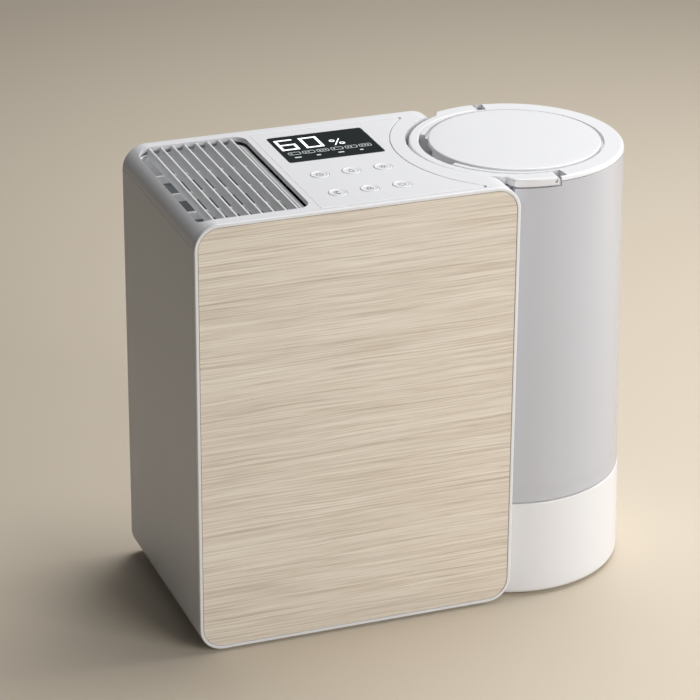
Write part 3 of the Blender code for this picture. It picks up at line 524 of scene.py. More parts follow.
def front_outline(inset, steps=16):
    return rounded_rectangle(
        (LEFT + inset, RIGHT - inset), (UNDERSIDE + inset, TOP - inset), CORNER - inset, steps
    )


def body_block():
    """The whole body behind the front cover, with its back edge well rounded."""
    start = FRONT + COVER_DEPTH + GAP
    loops = [(front_outline(0.0004), start), (front_outline(0.0), start + 0.0004)]
    loops += [(front_outline(inset), BACK - BACK_ROUND + rise) for inset, rise in fillet(BACK_ROUND, 6)]
    return loft(loops, "Y")


def room(inset, top, back):
    """The hollow inside the walls, kept clear of the tank's bay."""
    front = FRONT + COVER_DEPTH + GAP + WALL
    outline = rounded_rectangle(
        (LEFT + inset, RIGHT - inset), (UNDERSIDE + inset, top), CORNER - inset, 12
    )
    return carved(
        prism(outline, front, back, "Y"),
        (CUT, disc(AXIS, NOTCH_R + WALL, 0.0, TOP + 0.1, 160)),
    )


def bay():
    """The round room for the tank, above the level of the base."""
    return disc(AXIS, NOTCH_R, NOTCH_FOOT, TOP + 0.05, 200)


def base_room():
    return disc(AXIS, BASE_R + 0.0004, -0.01, NOTCH_FOOT, 200)


def screw_places():
    for name in SCREWS:
        low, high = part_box(name)
        yield middle(low, high, "xz")


def foot_places(side):
    for name in FEET:
        if side in name:
            low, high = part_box(name)
            yield middle(low, high)


def make_front(looks):
    edge = 0.0008
    loops = [
        (front_outline(RIM), FRONT + 0.0014),
        (front_outline(RIM), FRONT + 0.0004),
        (front_outline(RIM - 0.0001), FRONT + 0.0001),
        (front_outline(RIM - 0.0003), FRONT),
    ]
    loops += [(front_outline(inset), FRONT + edge - rise) for inset, rise in reversed(fillet(edge, 5))]
    loops += [(front_outline(0.0), COVER_HI.y - 0.0003), (front_outline(0.0003), COVER_HI.y)]
    piece("front_cover_fine", loft(loops, "Y"), looks["white"], "housing", ["front_cover"])


def grain_height(x, z):
    """Shallow ridges that run along X and hardly waver."""
    drift = 0.003 * noise.noise(Vector((x * 7.0, 3.0, z * 14.0)))
    line = noise.noise(Vector((x * 8.0, 0.0, (z + drift) * 560.0)))
    broad = noise.noise(Vector((x * 4.0, 7.0, (z + drift) * 130.0)))
    return 0.000060 * line + 0.000030 * broad


def make_wood(looks):
    """The wood-grain panel: its face is a fine grid with the grain in relief."""
    edge = RIM + 0.0004
    rows, columns = 640, 40
    bm = bmesh.new()
    z_low, z_high = UNDERSIDE + edge, TOP - edge
    x_low, x_high = LEFT + edge, RIGHT - edge
    radius = CORNER - edge
    face_y = FRONT + 0.0003
    grid = []
    for i in range(rows + 1):
        z = z_low + (z_high - z_low) * i / rows
        depth = max(0.0, radius - min(z - z_low, z_high - z))
        side = radius - math.sqrt(max(0.0, radius * radius - depth * depth))
        line = []
        for j in range(columns + 1):
            x = x_low + side + (x_high - x_low - 2 * side) * j / columns
            rim_distance = min(x - x_low - side, x_high - side - x, z - z_low, z_high - z)
            edge_fade = min(1.0, 4.0 * rim_distance / 0.004)
            y = face_y + (0.00012 + grain_height(x, z)) * edge_fade
            line.append(bm.verts.new((x, y, z)))
        grid.append(line)
    for lower, upper in zip(grid, grid[1:]):
        for j in range(columns):
            bm.faces.new((lower[j], lower[j + 1], upper[j + 1], upper[j]))
    rim = [line[-1] for line in grid] + list(reversed(grid[-1][:-1]))
    rim += [line[0] for line in reversed(grid[:-1])] + grid[0][1:-1]
    back = [bm.verts.new((v.co.x, FRONT + 0.0011, v.co.z)) for v in rim]
    for i in range(len(rim)):
        j = (i + 1) % len(rim)
        bm.faces.new((rim[j], rim[i], back[i], back[j]))
    bm.faces.new(back)
    piece("wood_panel_fine", bm, looks["wood"], "housing", ["wood_panel"], 50.0)


def make_shell(looks):
    wide = (LEFT - 0.01, RIGHT + 0.01)
    steps = [
        (CUT, room(WALL, TOP + 0.05, BACK + 0.01)),
        (CUT, bay()),
        (CUT, base_room()),
        (CUT, box(wide, (FRONT, BACK + 0.01), (SHELL_HI.z, TOP + 0.01))),
        (CUT, box(wide, (SHELL_HI.y, BACK + 0.01), (0.0, TOP))),
    ]
    boss_r, boss_depth = 0.0050, 0.022
    hole_r, hole_depth = 0.0018, 0.0162
    for place in screw_places():
        boss = disc(place, boss_r, SHELL_HI.y - boss_depth, SHELL_HI.y - 0.00001, 48, "Y")
        steps.append((JOIN, boss))
    for place in screw_places():
        steps.append((CUT, disc(place, hole_r, SHELL_HI.y - hole_depth, BACK, 32, "Y")))
    for place in foot_places("left"):
        steps.append((CUT, disc(place, FOOT_POCKET_R, 0.0, FOOT_POCKET_TOP, 48)))
    bm = carved(body_block(), *steps)
    soften(bm, 0.0005, lambda p: near(p.z, SHELL_HI.z) and p.x > LEFT + 0.02, 2)
    soften(bm, 0.0004, lambda p: near(p.z, NOTCH_FOOT), 2)
    # The shell wears the darker side look: painted shade on its shadowed left side.
    piece("main_shell_fine", bm, looks["side"], "housing", ["main_shell"])


def outlet_outline(grow=0.0):
    return rounded_rectangle(
        (GRILLE_LO.x - GAP - grow, GRILLE_HI.x + GAP + grow),
        (GRILLE_LO.y - GAP - grow, GRILLE_HI.y + GAP + grow),
        0.0100 + grow,
        14,
    )


def plate_outline(inset=0.0):
    """The control plate: straight back, front and left edges and a hollow arc beside the tank."""
    cx, cy = PLATE_ARC_CENTRE
    radius = PLATE_ARC_R + inset
    back = PLATE_HI.y - inset
    front = PLATE_LO.y + inset
    corner = 0.0030
    top_angle = 180 - math.degrees(math.asin((back - corner - cy) / radius))
    low_angle = 180 + math.degrees(math.asin((cy - front - corner) / radius))
    edge = arc((cx, cy), radius, top_angle, low_angle, 64)
    left = PLATE_LO.x + 0.3 * max(inset, 0.0)
    points = [(left, back), (left, front)]
    points += soft_corner((edge[-1][0] - 0.0024, front), (edge[-1][0] + 0.0004, front), edge[-1])
    points += reversed(edge)
    points += soft_corner(edge[0], (edge[0][0] + 0.0004, back), (edge[0][0] - 0.0024, back))
    return points


def soft_corner(start, knee, end, steps=6):
    """Points between two ends, curved through the pull of a knee; the ends are left out."""
    points = []
    for i in range(1, steps):
        t = i / steps
        weights = ((1 - t) ** 2, 2 * t * (1 - t), t * t)
        points.append(
            tuple(weights[0] * start[k] + weights[1] * knee[k] + weights[2] * end[k] for k in (0, 1))
        )
    return points


def button_places():
    for name in BUTTONS:
        low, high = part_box(f"button_{name}")
        yield name, middle(low, high), 0.5 * (high.x - low.x)


def make_top_cover(looks):
    recess = PLATE_LO.z - GAP
    wide = (LEFT - 0.01, RIGHT + 0.01)
    window = rounded_rectangle(
        (GLASS_LO.x + 0.0022, GLASS_HI.x - 0.0022), (GLASS_LO.y + 0.0022, GLASS_HI.y - 0.0022), 0.0020
    )
    steps = [
        (CUT, room(WALL, TOP - DECK, BACK - WALL)),
        (CUT, bay()),
        (CUT, box(wide, (FRONT, BACK + 0.01), (0.0, SEAM))),
        (CUT, prism(outlet_outline(), SEAM - 0.01, TOP + 0.01)),
        (CUT, prism(plate_outline(-PLATE_GAP), recess, TOP + 0.01)),
        (CUT, prism(window, recess - 0.01, TOP)),
    ]
    for _, place, _ in button_places():
        steps.append((CUT, disc(place, 0.0040, recess - 0.01, TOP, 40)))
    bm = carved(body_block(), *steps)
    soften(bm, 0.0010, lambda p: near(p.z, TOP) and near(from_axis(p), NOTCH_R, 0.00015), 4)
    soften(bm, 0.0009, lambda p: near(p.z, TOP) and p.x < GRILLE_HI.x + 0.0012, 4)
    soften(bm, 0.0004, lambda p: near(p.z, TOP) and p.x > GRILLE_HI.x + 0.0012, 3)
    piece("top_cover_fine", bm, looks["white"], "housing", ["top_cover"])


# ---------------------------------------------------------------- outlet grille


def slat(x, span_y, thick, low, high):
    """A blade that leans a little and narrows downwards, with a full round on its top edge."""
    half = 0.5 * thick
    foot = x - SLAT_LEAN
    outline = [(foot - 0.6 * half, low), (foot + 0.6 * half, low)]
    outline += arc((x, high - half), half, 0, 180, 12)
    return prism(outline, span_y[0], span_y[1], "Y")


def make_grille(looks):
    side = 0.0015
    collar_top = TOP - 0.0055
    outer_x = (GRILLE_LO.x, GRILLE_HI.x)
    outer_y = (GRILLE_LO.y, GRILLE_HI.y)
    outer = rounded_rectangle(outer_x, outer_y, 0.0097, 14)
    inner = rounded_rectangle(
        (outer_x[0] + side, outer_x[1] - 0.0040), (outer_y[0] + side, outer_y[1] - side), 0.0080, 14
    )
    collar = carved(
        prism(outer, GRILLE_LO.z, collar_top),
        (CUT, prism(inner, GRILLE_LO.z - 0.01, TOP)),
    )
    soften(collar, 0.0004, lambda p: near(p.z, collar_top), 2)
    span_y = (outer_y[0] + 0.5 * side, outer_y[1] - 0.5 * side)
    first = LEFT + 0.0180
    blades = [
        slat(first + SLAT_PITCH * i, span_y, SLAT_THICK, SLAT_FOOT, GRILLE_HI.z) for i in range(SLATS)
    ]
    ribs = []
    for i in range(RIBS):
        y = outer_y[0] + side + (outer_y[1] - outer_y[0] - 2 * side) * (i + 1) / (RIBS + 1)
        outline = [(y - RIB_HALF, TOP - 0.0140), (y + RIB_HALF, TOP - 0.0140)]
        outline += arc((y, TOP - 0.0089), RIB_HALF, 0, 180, 8)
        ribs.append(prism(outline, outer_x[0] + 0.5 * side, outer_x[1] - 0.5 * side, "X"))
    bm = merged(collar, *blades, *ribs)
    piece("outlet_grille_fine", bm, looks["grille"], "housing", ["outlet_grille"])


# ---------------------------------------------------------------- control panel


def make_plate(looks):
    edge = 0.0005
    foot = PLATE_LO.z
    loops = [(plate_outline(), foot)]
    loops += [(plate_outline(inset), TOP - edge + rise) for inset, rise in fillet(edge, 4)]
    window = rounded_rectangle(
        (GLASS_LO.x - GAP, GLASS_HI.x + GAP), (GLASS_LO.y - GAP, GLASS_HI.y + GAP), 0.0025
    )
    steps = [(CUT, prism(window, foot - 0.01, TOP + 0.01))]
    for _, place, radius in button_places():
        steps.append((CUT, disc(place, radius + GAP, foot - 0.01, TOP + 0.01, 72)))
    bm = carved(loft(loops), *steps)
    places = [place for _, place, _ in button_places()]

    def by_hole(p):
        if not near(p.z, TOP):
            return False
        in_window = abs(p.x - 0.5 * (GLASS_LO.x + GLASS_HI.x)) < 0.5 * (GLASS_HI.x - GLASS_LO.x) + 0.001
        in_window = in_window and p.y > GLASS_LO.y - 0.001 and p.y < GLASS_HI.y + 0.001
        return in_window or any(from_axis(p, place) < 0.0075 for place in places)

    soften(bm, 0.0003, by_hole, 3)
    piece("control_plate_fine", bm, looks["white"], "housing", ["control_plate"])


def make_window(looks):
    edge = 0.0004
    span_x, span_y = (GLASS_LO.x, GLASS_HI.x), (GLASS_LO.y, GLASS_HI.y)

    def outline(inset):
        return rounded_rectangle(
            (span_x[0] + inset, span_x[1] - inset), (span_y[0] + inset, span_y[1] - inset), 0.0022 - inset
        )

    loops = [(outline(0.0), GLASS_LO.z)]
    loops += [(outline(inset), GLASS_HI.z - edge + rise) for inset, rise in fillet(edge, 4)]
    piece("display_window_fine", loft(loops), looks["glass"], "housing", ["display_window"])
    low, high = GLASS_HI.z - 0.00005, GLASS_HI.z + 0.00006
    piece("display_digits", merged(*digit_shapes(low, high)), looks["digit"], "housing", [])
    piece("display_marks", merged(*mark_shapes(low, high)), looks["mark"], "housing", [])


def bar(span_x, span_y, low, high):
    """A short bar with slightly rounded ends."""
    radius = 0.22 * min(span_x[1] - span_x[0], span_y[1] - span_y[0])
    return prism(rounded_rectangle(span_x, span_y, radius, 3), low, high)


def digit(x, y, segments, low, high, width=0.0136, height=0.0212, stroke=0.0021):
    """A seven-bar digit: t, m and b are its level bars, and ul, ur, ll and lr its upright ones."""
    middle = y + 0.5 * height
    half = 0.5 * stroke
    places = {
        "t": ((x, x + width), (y + height - stroke, y + height)),
        "m": ((x, x + width), (middle - half, middle + half)),
        "b": ((x, x + width), (y, y + stroke)),
        "ul": ((x, x + stroke), (middle - half, y + height)),
        "ur": ((x + width - stroke, x + width), (middle - half, y + height)),
        "ll": ((x, x + stroke), (y, middle + half)),
        "lr": ((x + width - stroke, x + width), (y, middle + half)),
    }
    return [bar(*places[name], low, high + 0.000002 * i) for i, name in enumerate(segments)]


def digit_shapes(low, high):
    x, y = GLASS_LO.x + 0.0032, GLASS_LO.y + 0.0250
    shapes = digit(x, y, ("t", "m", "b", "ul", "ll", "lr"), low, high)
    shapes += digit(x + 0.0186, y, ("t", "b", "ul", "ur", "ll", "lr"), low, high)
    px, py = x + 0.0388, y - 0.0008
    shapes.append(prism(ribbon([(px + 0.0012, py), (px + 0.0078, py + 0.0120)], 0.0009), low, high))
    for dx, dy in ((0.0016, 0.0092), (0.0074, 0.0028)):
        ring = arc((px + dx, py + dy), 0.0017, 0, 359, 24)
        shapes.append(prism(ribbon(ring, 0.0009), low, high))
    return shapes


def mark_shapes(low, high):
    """The row of small signs under the digits: frames, dots and bars."""
    shapes = []
    y = GLASS_LO.y + 0.0150
    x = GLASS_LO.x + 0.0050
    for i in range(6):
        left = x + 0.0108 * i
        frame_line = rounded_rectangle((left, left + 0.0088), (y, y + 0.0048), 0.0012, 4)
        shapes.append(prism(ribbon(frame_line + frame_line[:1], 0.00045), low, high))
        for k in range(1 + i % 3):
            centre = (left + 0.0022 + 0.0022 * k, y + 0.0024)
            shapes.append(prism(circle(centre, 0.0007, 16), low, high))
    for i, width in enumerate((0.0050, 0.0032, 0.0044, 0.0026)):
        left = x + 0.0020 + 0.0165 * i
        shapes.append(bar((left, left + width), (y - 0.0066, y - 0.0048), low, high))
    return shapes


def sign_lines(name):
    """The strokes of each button's sign, about the button's middle, in units of its radius."""
    if name == "timer":
        return [arc((0, 0), 0.36, 0, 358, 36), [(0.0, 0.22), (0.0, 0.0), (0.16, -0.08)]]
    if name == "humidity":
        drop = arc((0, -0.10), 0.26, -210, 30, 28)
        return [[(0.0, 0.42), *reversed(drop), (0.0, 0.42)]]
    if name == "light":
        rays = [
            [(0.30 * math.cos(a), 0.30 * math.sin(a)), (0.42 * math.cos(a), 0.42 * math.sin(a))]
            for a in (math.pi * k / 4 for k in range(8))
        ]
        return [arc((0, 0), 0.18, 0, 358, 28), *rays]
    if name == "mode":
        return [arc((0, 0), 0.36, 60, 300, 30) + arc((0.16, 0), 0.31, 280, 80, 24)]
    if name == "speed":
        blades = []
        for k in range(3):
            start = 90 + 120 * k
            mid = (0.20 * math.cos(math.radians(start)), 0.20 * math.sin(math.radians(start)))
            blades.append(arc(mid, 0.17, start - 150, start + 150, 20))
        return blades
    return [arc((0, 0), 0.34, 125, 415, 34), [(0.0, 0.44), (0.0, 0.12)]]


def make_buttons(looks):
    """Caps with a raised ring round a shallow dish, each with its sign printed in the dish."""
    for name, place, radius in button_places():
        low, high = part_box(f"button_{name}")
        dish = high.z - 0.0003
        profile = [
            (0.0, dish),
            (radius - 0.0018, dish),
            (radius - 0.0015, dish + 0.00005),
            (radius - 0.0012, dish + 0.00020),
            (radius - 0.0010, dish + 0.00028),
            (radius - 0.0007, high.z),
            (radius - 0.0004, dish + 0.00026),
            (radius - 0.0002, dish + 0.00014),
            (radius, dish - 0.0002),
            (radius, high.z - 0.0014),
            (0.0030, high.z - 0.0014),
            (0.0030, low.z),
            (0.0, low.z),
        ]
        node = f"button_{name}"
        piece(f"{node}_fine", turned(profile, place, 72), looks["white"], node, [node])
        strokes = []
        for line in sign_lines(name):
            points = [(place[0] + u * radius, place[1] + v * radius) for u, v in line]
            strokes.append(prism(ribbon(points, 0.00062), dish - 0.00004, dish + 0.00004))
        piece(f"{node}_sign", merged(*strokes), looks["print"], node, [])


# ---------------------------------------------------------------- tank


def tank_radius(z):
    return TOP_RADIUS + TANK_SLOPE * (RING_TOP - z)


def tank_outline(z, inset=0.0, bay_inset=None):
    """The tank seen from above: full radius outside the body, a tighter arc inside the bay."""
    outer_r = tank_radius(z) - inset
    bay_r = BAY_ARC_R - (inset if bay_inset is None else bay_inset)
    step = TANK_STEP_X + inset
    outer_half = math.degrees(math.acos((step - AXIS[0]) / outer_r))
    bay_half = math.degrees(math.acos((step - AXIS[0]) / bay_r))
    points = arc(AXIS, outer_r, -outer_half, outer_half, 150)
    points += arc(AXIS, bay_r, bay_half, 360 - bay_half, 90)
    return points


def make_tank(looks):
    edge = 0.0012
    inner_foot = TANK_FLOOR + 0.0030
    levels = 10
    loops = [
        (tank_outline(TANK_FLOOR, TANK_WALL), TANK_FLOOR),
        (tank_outline(TANK_FOOT, TANK_WALL), TANK_FOOT),
    ]
    for inset, rise in reversed(fillet(edge, 4)):
        loops.append((tank_outline(TANK_FOOT, inset), TANK_FOOT + edge - rise))
    for i in range(1, levels):
        z = TANK_FOOT + (TANK_RIM - TANK_FOOT) * i / levels
        loops.append((tank_outline(z), z))
    loops += [
        (tank_outline(TANK_RIM), TANK_RIM - 0.0003),
        (tank_outline(TANK_RIM, 0.0003), TANK_RIM),
        (tank_outline(TANK_RIM, TANK_WALL), TANK_RIM),
        (tank_outline(inner_foot, TANK_WALL), inner_foot + 0.0040),
        (tank_outline(inner_foot, TANK_WALL + 0.0012), inner_foot + 0.0012),
        (tank_outline(inner_foot, TANK_WALL + 0.0040), inner_foot),
    ]
    bm = carved(
        loft(loops),
        (JOIN, disc(AXIS, 0.0205, BASE_TOP - 0.0040, TANK_FLOOR + 0.0010, 72)),
        (CUT, disc(AXIS, 0.0180, 0.0600, 0.1000, 72)),
        (CUT, ring_sector(0.0690, BEYOND_RIM, *LIP_ENDS, TANK_BED, RING_TOP + 0.01)),
    )
    piece("tank_body_fine", bm, looks["tank"], "tank", ["tank_body"])
    inset = TANK_WALL + 0.0003
    water = [
        (tank_outline(inner_foot, inset + 0.0045), inner_foot + 0.0003),
        (tank_outline(inner_foot, inset), inner_foot + 0.0048),
        (tank_outline(WATER_LEVEL, inset), WATER_LEVEL - 0.0003),
        (tank_outline(WATER_LEVEL, inset + 0.0008), WATER_LEVEL - 0.0010),
    ]
    piece("tank_water", loft(water), looks["water"], "tank", [])


def make_ring(looks):
    edge = 0.0026
    inner = TANK_WALL + 0.0004
    loops = [
        (tank_outline(RING_LO.z, inner), RING_LO.z),
        (tank_outline(RING_SHOULDER, inner), RING_SHOULDER),
        (tank_outline(RING_SHOULDER, 0.0003), RING_SHOULDER),
        (tank_outline(RING_SHOULDER), RING_SHOULDER + 0.0003),
    ]
    for inset, rise in fillet(edge, 7):
        z = RING_TOP - edge + rise
        loops.append((tank_outline(z, inset), z))
    above = RING_TOP + 0.01
    lid_seat = TOP - 0.0044
    bed_foot = TANK_BED + 0.0001
    finger_room = ring_sector(0.0580, 0.0700, 150.0, 208.0, 0.3150, above, 60)
    steps = [
        (CUT, disc(LID_CENTRE, MOUTH_R, RING_LO.z - 0.01, above, 160)),
        (CUT, disc(LID_CENTRE, LID_R + 0.0020, lid_seat, above, 160)),
        (CUT, ring_sector(HANDLE_IN - 0.0004, LIP_R, *HANDLE_BED, bed_foot, above, 150)),
        (CUT, ring_sector(0.0720, BEYOND_RIM, *LIP_ENDS, bed_foot, above, 150)),
        (CUT, finger_room),
    ]
    for side in (-1, 1):
        span = sorted((AXIS[1] + side * 0.0659, AXIS[1] + side * 0.0700))
        steps.append((CUT, disc((AXIS[0], PIN_Z), 0.0018, span[0], span[1], 32, "Y")))
    bm = carved(loft(loops), *steps)
    soften(bm, 0.0006, lambda p: near(p.z, RING_TOP), 3, 50.0)
    piece("tank_top_ring_fine", bm, looks["white"], "tank", ["tank_top_ring"])


def make_handle(looks):
    """The half ring with well rounded edges and a pierced eye at each end."""
    soft = 0.0014
    low, high = HANDLE_LO.z, HANDLE_HI.z
    loops = []
    for inset, rise in reversed(fillet(soft, 5)):
        loops.append((handle_outline(inset), low + soft - rise))
    for inset, rise in fillet(soft, 5):
        loops.append((handle_outline(inset), high - soft + rise))
    steps = []
    for side in (-1, 1):
        near_end = AXIS[1] + side * (HANDLE_IN + 0.0002)
        far_end = AXIS[1] + side * (HANDLE_RIM_R - 0.0012)
        span = sorted((near_end, far_end))
        eye = disc((AXIS[0], PIN_Z), 0.5 * (high - low) - 0.00002, span[0], span[1], 48, "Y")
        steps.append((JOIN, eye))
    for side in (-1, 1):
        wide = sorted((AXIS[1] + side * 0.0600, AXIS[1] + side * BEYOND_RIM))
        steps.append((CUT, disc((AXIS[0], PIN_Z), 0.00157, wide[0], wide[1], 32, "Y")))
    bm = carved(loft(loops), *steps)
    piece("tank_handle_fine", bm, looks["white"], "handle", ["tank_handle"])


def handle_outline(inset):
    """A half ring: as wide as the tank's rim outside the body, and narrower inside the bay."""
    rim_r = HANDLE_RIM_R - inset
    bay_r = HANDLE_OUT - inset
    step = TANK_STEP_X + GAP + inset - AXIS[0]
    rim_end = math.degrees(math.acos(step / rim_r))
    bay_start = math.degrees(math.acos((step - 0.0040) / bay_r))
    points = arc(AXIS, rim_r, 90, rim_end, 24)
    points += arc(AXIS, bay_r, bay_start, 360 - bay_start, 110)
    points += arc(AXIS, rim_r, 360 - rim_end, 270, 24)
    points += reversed(arc(AXIS, HANDLE_IN + inset, 90, 270, 130))
    return points


def make_lid(looks):
    """A nearly flat lid with a soft edge, and the plug with its seal groove below."""
    top = LID_HI.z
    foot = TOP - 0.0040
    plug = LID_PLUG_R
    profile = [(0.0, top)]
    for i in range(1, 9):
        r = (LID_R - 0.0060) * i / 8
        profile.append((r, top - 0.0004 * (r / LID_R) ** 2))
    edge = 0.0010
    for inset, rise in reversed(fillet(edge, 7)):
        profile.append((LID_R - 0.0004 - inset, top - 0.0005 - edge + rise))
    profile += [
        (LID_R - 0.0003, foot + 0.0004),
        (LID_R - 0.0008, foot),
        (plug, foot),
        (plug, SEAL_GROOVE[1]),
        (plug - 0.0012, SEAL_GROOVE[1]),
        (plug - 0.0012, SEAL_GROOVE[0]),
        (plug, SEAL_GROOVE[0]),
        (plug, LID_LO.z + 0.0006),
        (plug - 0.0006, LID_LO.z),
        (plug - 0.0025, LID_LO.z),
        (plug - 0.0025, PLUG_CEILING),
        (0.0, PLUG_CEILING),
    ]
    bm = turned(profile, LID_CENTRE, 192)
    piece("tank_lid_fine", bm, looks["white"], "lid", ["tank_lid"])


# ---------------------------------------------------------------- base and feet


def make_base(looks):
    foot = BASE_LO.z
    bottom, top = 0.0040, 0.0012
    profile = [(0.0, foot)]
    profile += [(BASE_R - inset, foot + bottom - rise) for inset, rise in reversed(fillet(bottom, 8))]
    profile += [(BASE_R - 0.0012 - inset, BASE_TOP - top + rise) for inset, rise in fillet(top, 5)]
    profile.append((0.0, BASE_TOP))
    side, floor, lift = 0.0025, 0.0075, 0.0580
    post_foot, post_top, post_r = 0.0065, 0.0637, 0.0040
    well_r = 0.0270
    trough_y = (-0.0620, 0.0600)
    trough = rounded_rectangle((BASE_LO.x, AXIS[0]), trough_y, 0.0080, 8)
    inner_y = (trough_y[0] + side, trough_y[1] - side)
    inner = rounded_rectangle((BASE_LO.x + side, AXIS[0]), inner_y, 0.0055, 8)
    steps = [
        (JOIN, prism(trough, UNDERSIDE + WALL + 0.0005, lift)),
        (CUT, disc(AXIS, BASE_R - 0.0042, floor, BASE_TOP - 0.0030, 128)),
        (CUT, prism(inner, floor, lift - 0.0001)),
        (CUT, box((BASE_LO.x + side, 0.0050), inner_y, (0.05, 0.07))),
        (CUT, disc(AXIS, well_r, 0.0500, BASE_TOP + 0.01, 96)),
        (JOIN, disc(AXIS, post_r, post_foot, post_top, 48)),
    ]
    low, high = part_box("water_float")
    steps.append((JOIN, disc(middle(low, high), 0.0025, post_foot, 0.0560, 32)))
    for place in foot_places("right"):
        steps.append((CUT, disc(place, FOOT_POCKET_R, 0.0, FOOT_POCKET_TOP, 48)))
    bm = carved(turned(profile, AXIS, 192), *steps)
    soften(bm, 0.0010, lambda p: near(p.z, BASE_TOP) and from_axis(p) < 0.03, 3)
    piece("base_tray_fine", bm, looks["white"], "housing", ["base_tray"])


def make_feet(looks):
    for name in FEET:
        low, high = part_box(name)
        centre = middle(low, high)
        radius = 0.5 * (high.x - low.x)
        profile = [(0.0, low.z + 0.0003), (radius * 0.55, low.z + 0.0003), (radius * 0.62, low.z)]
        profile += [(radius - inset, low.z + 0.0007 - rise) for inset, rise in reversed(fillet(0.0007, 4))]
        profile += [(radius, high.z), (0.0, high.z)]
        piece(f"{name}_fine", turned(profile, centre, 48), looks["rubber"], "housing", [name])


# ---------------------------------------------------------------- rear


def make_back_panel(looks):
    wide = (LEFT - 0.01, RIGHT + 0.01)
    lap = 0.0060
    inlet = rounded_rectangle(
        (REAR_LO.x + lap, REAR_HI.x - lap), (REAR_LO.z + lap, REAR_HI.z - lap), 0.0060
    )
    socket = rounded_rectangle(
        (SOCKET_LO.x - GAP, SOCKET_HI.x + GAP), (SOCKET_LO.z - GAP, SOCKET_HI.z + GAP), 0.0030
    )
    steps = [
        (CUT, bay()),
        (CUT, base_room()),
        (CUT, box(wide, (FRONT, BACK - WALL), (0.0, TOP + 0.01))),
        (CUT, box(wide, (FRONT, BACK + 0.01), (SHELL_HI.z, TOP + 0.01))),
        (CUT, prism(inlet, 0.0, BACK + 0.01, "Y")),
        (CUT, prism(socket, 0.0, BACK + 0.01, "Y")),
    ]
    for place in screw_places():
        steps.append((CUT, disc(place, 0.0020, 0.0700, BACK + 0.01, 40, "Y")))
    bm = carved(body_block(), *steps)
    soften(bm, 0.0004, lambda p: near(p.y, BACK), 3)
    piece("back_panel_fine", bm, looks["side"], "housing", ["back_panel"])


def make_rear_cover(looks):
    """The louvred plate: two columns of slots, a soft outer edge and a hollow plug behind."""
    low_y, high_y = BACK + GAP, REAR_HI.y
    edge = 0.0014

    def outline(inset):
        span_x = (REAR_LO.x + inset, REAR_HI.x - inset)
        span_z = (REAR_LO.z + inset, REAR_HI.z - inset)
        return rounded_rectangle(span_x, span_z, 0.0100 - inset)

    loops = [(outline(0.0), low_y)]
    loops += [(outline(inset), high_y - edge + rise) for inset, rise in fillet(edge, 5)]
    plug_x = (REAR_LO.x + 0.0066, REAR_HI.x - 0.0066)
    plug_z = (REAR_LO.z + 0.0066, REAR_HI.z - 0.0066)
    plug_out = rounded_rectangle(plug_x, plug_z, 0.0054)
    thick = 0.002
    plug_in = rounded_rectangle(
        (plug_x[0] + thick, plug_x[1] - thick), (plug_z[0] + thick, plug_z[1] - thick), 0.0034
    )
    steps = [
        (JOIN, prism(plug_out, REAR_LO.y, low_y + 0.0005, "Y")),
        (CUT, prism(plug_in, REAR_LO.y - 0.01, low_y, "Y")),
    ]
    low, high = REAR_LO.z + 0.0180, REAR_HI.z - 0.0180
    middle = 0.5 * (REAR_LO.x + REAR_HI.x)
    slots = []
    for i in range(LOUVRES):
        z = low + (high - low) * i / (LOUVRES - 1)
        for span in ((REAR_LO.x + 0.0140, middle - 0.0030), (middle + 0.0030, REAR_HI.x - 0.0140)):
            slot = rounded_rectangle(span, (z - LOUVRE_HALF, z + LOUVRE_HALF), 0.0016, 5)
            slots.append(prism(slot, BACK - 0.01, BACK + 0.01, "Y"))
    steps.append((CUT, merged(*slots)))
    bm = carved(loft(loops, "Y"), *steps)
    soften(bm, 0.0006, lambda p: near(p.y, high_y), 3)
    piece("rear_cover_fine", bm, looks["side"], "rear_grille", ["rear_cover"])


def make_screws(looks):
    for name in SCREWS:
        low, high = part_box(name)
        place = middle(low, high, "xz")
        head = 0.5 * (high.x - low.x)
        seat = BACK + GAP
        shank = 0.0015
        profile = [(0.0, low.y), (shank, low.y + 0.0010), (shank, seat)]
        profile += [(head - 0.0002, seat), (head, seat + 0.0002)]
        for i in range(1, 7):
            part = math.radians(90 * i / 6)
            profile.append((head * math.cos(part), seat + 0.0002 + (high.y - seat - 0.0002) * math.sin(part)))
        profile[-1] = (0.0, high.y)
        steps = []
        for du, dv in ((0.0020, 0.0003), (0.0003, 0.0020)):
            span_x = (place[0] - du, place[0] + du)
            span_z = (place[1] - dv, place[1] + dv)
            steps.append((CUT, box(span_x, (high.y - 0.0009, high.y + 0.001), span_z)))
        bm = carved(turned(profile, place, 48, "Y"), *steps)
        piece(f"{name}_fine", bm, looks["steel"], "housing", [name])


def make_socket(looks):
    centre = middle(SOCKET_LO, SOCKET_HI, "xz")
    outline = rounded_rectangle((SOCKET_LO.x, SOCKET_HI.x), (SOCKET_LO.z, SOCKET_HI.z), 0.0027)
    hole = rounded_rectangle(
        (centre[0] - 0.0088, centre[0] + 0.0088), (centre[1] - 0.0046, centre[1] + 0.0046), 0.0044
    )
    steps = [(CUT, prism(hole, SOCKET_LO.y + 0.0040, BACK + 0.01, "Y"))]
    for offset in (-0.0043, 0.0043):
        place = (centre[0] + offset, centre[1])
        steps.append((CUT, disc(place, 0.0014, SOCKET_LO.y - 0.01, SOCKET_LO.y + 0.01, 24, "Y")))
    bm = carved(prism(outline, SOCKET_LO.y, SOCKET_HI.y, "Y"), *steps)
    soften(bm, 0.0002, lambda p: near(p.y, SOCKET_HI.y), 2)
    piece("inlet_socket_fine", bm, looks["rubber"], "housing", ["inlet_socket"])


# ---------------------------------------------------------------- carried-over parts, floor, light, camera


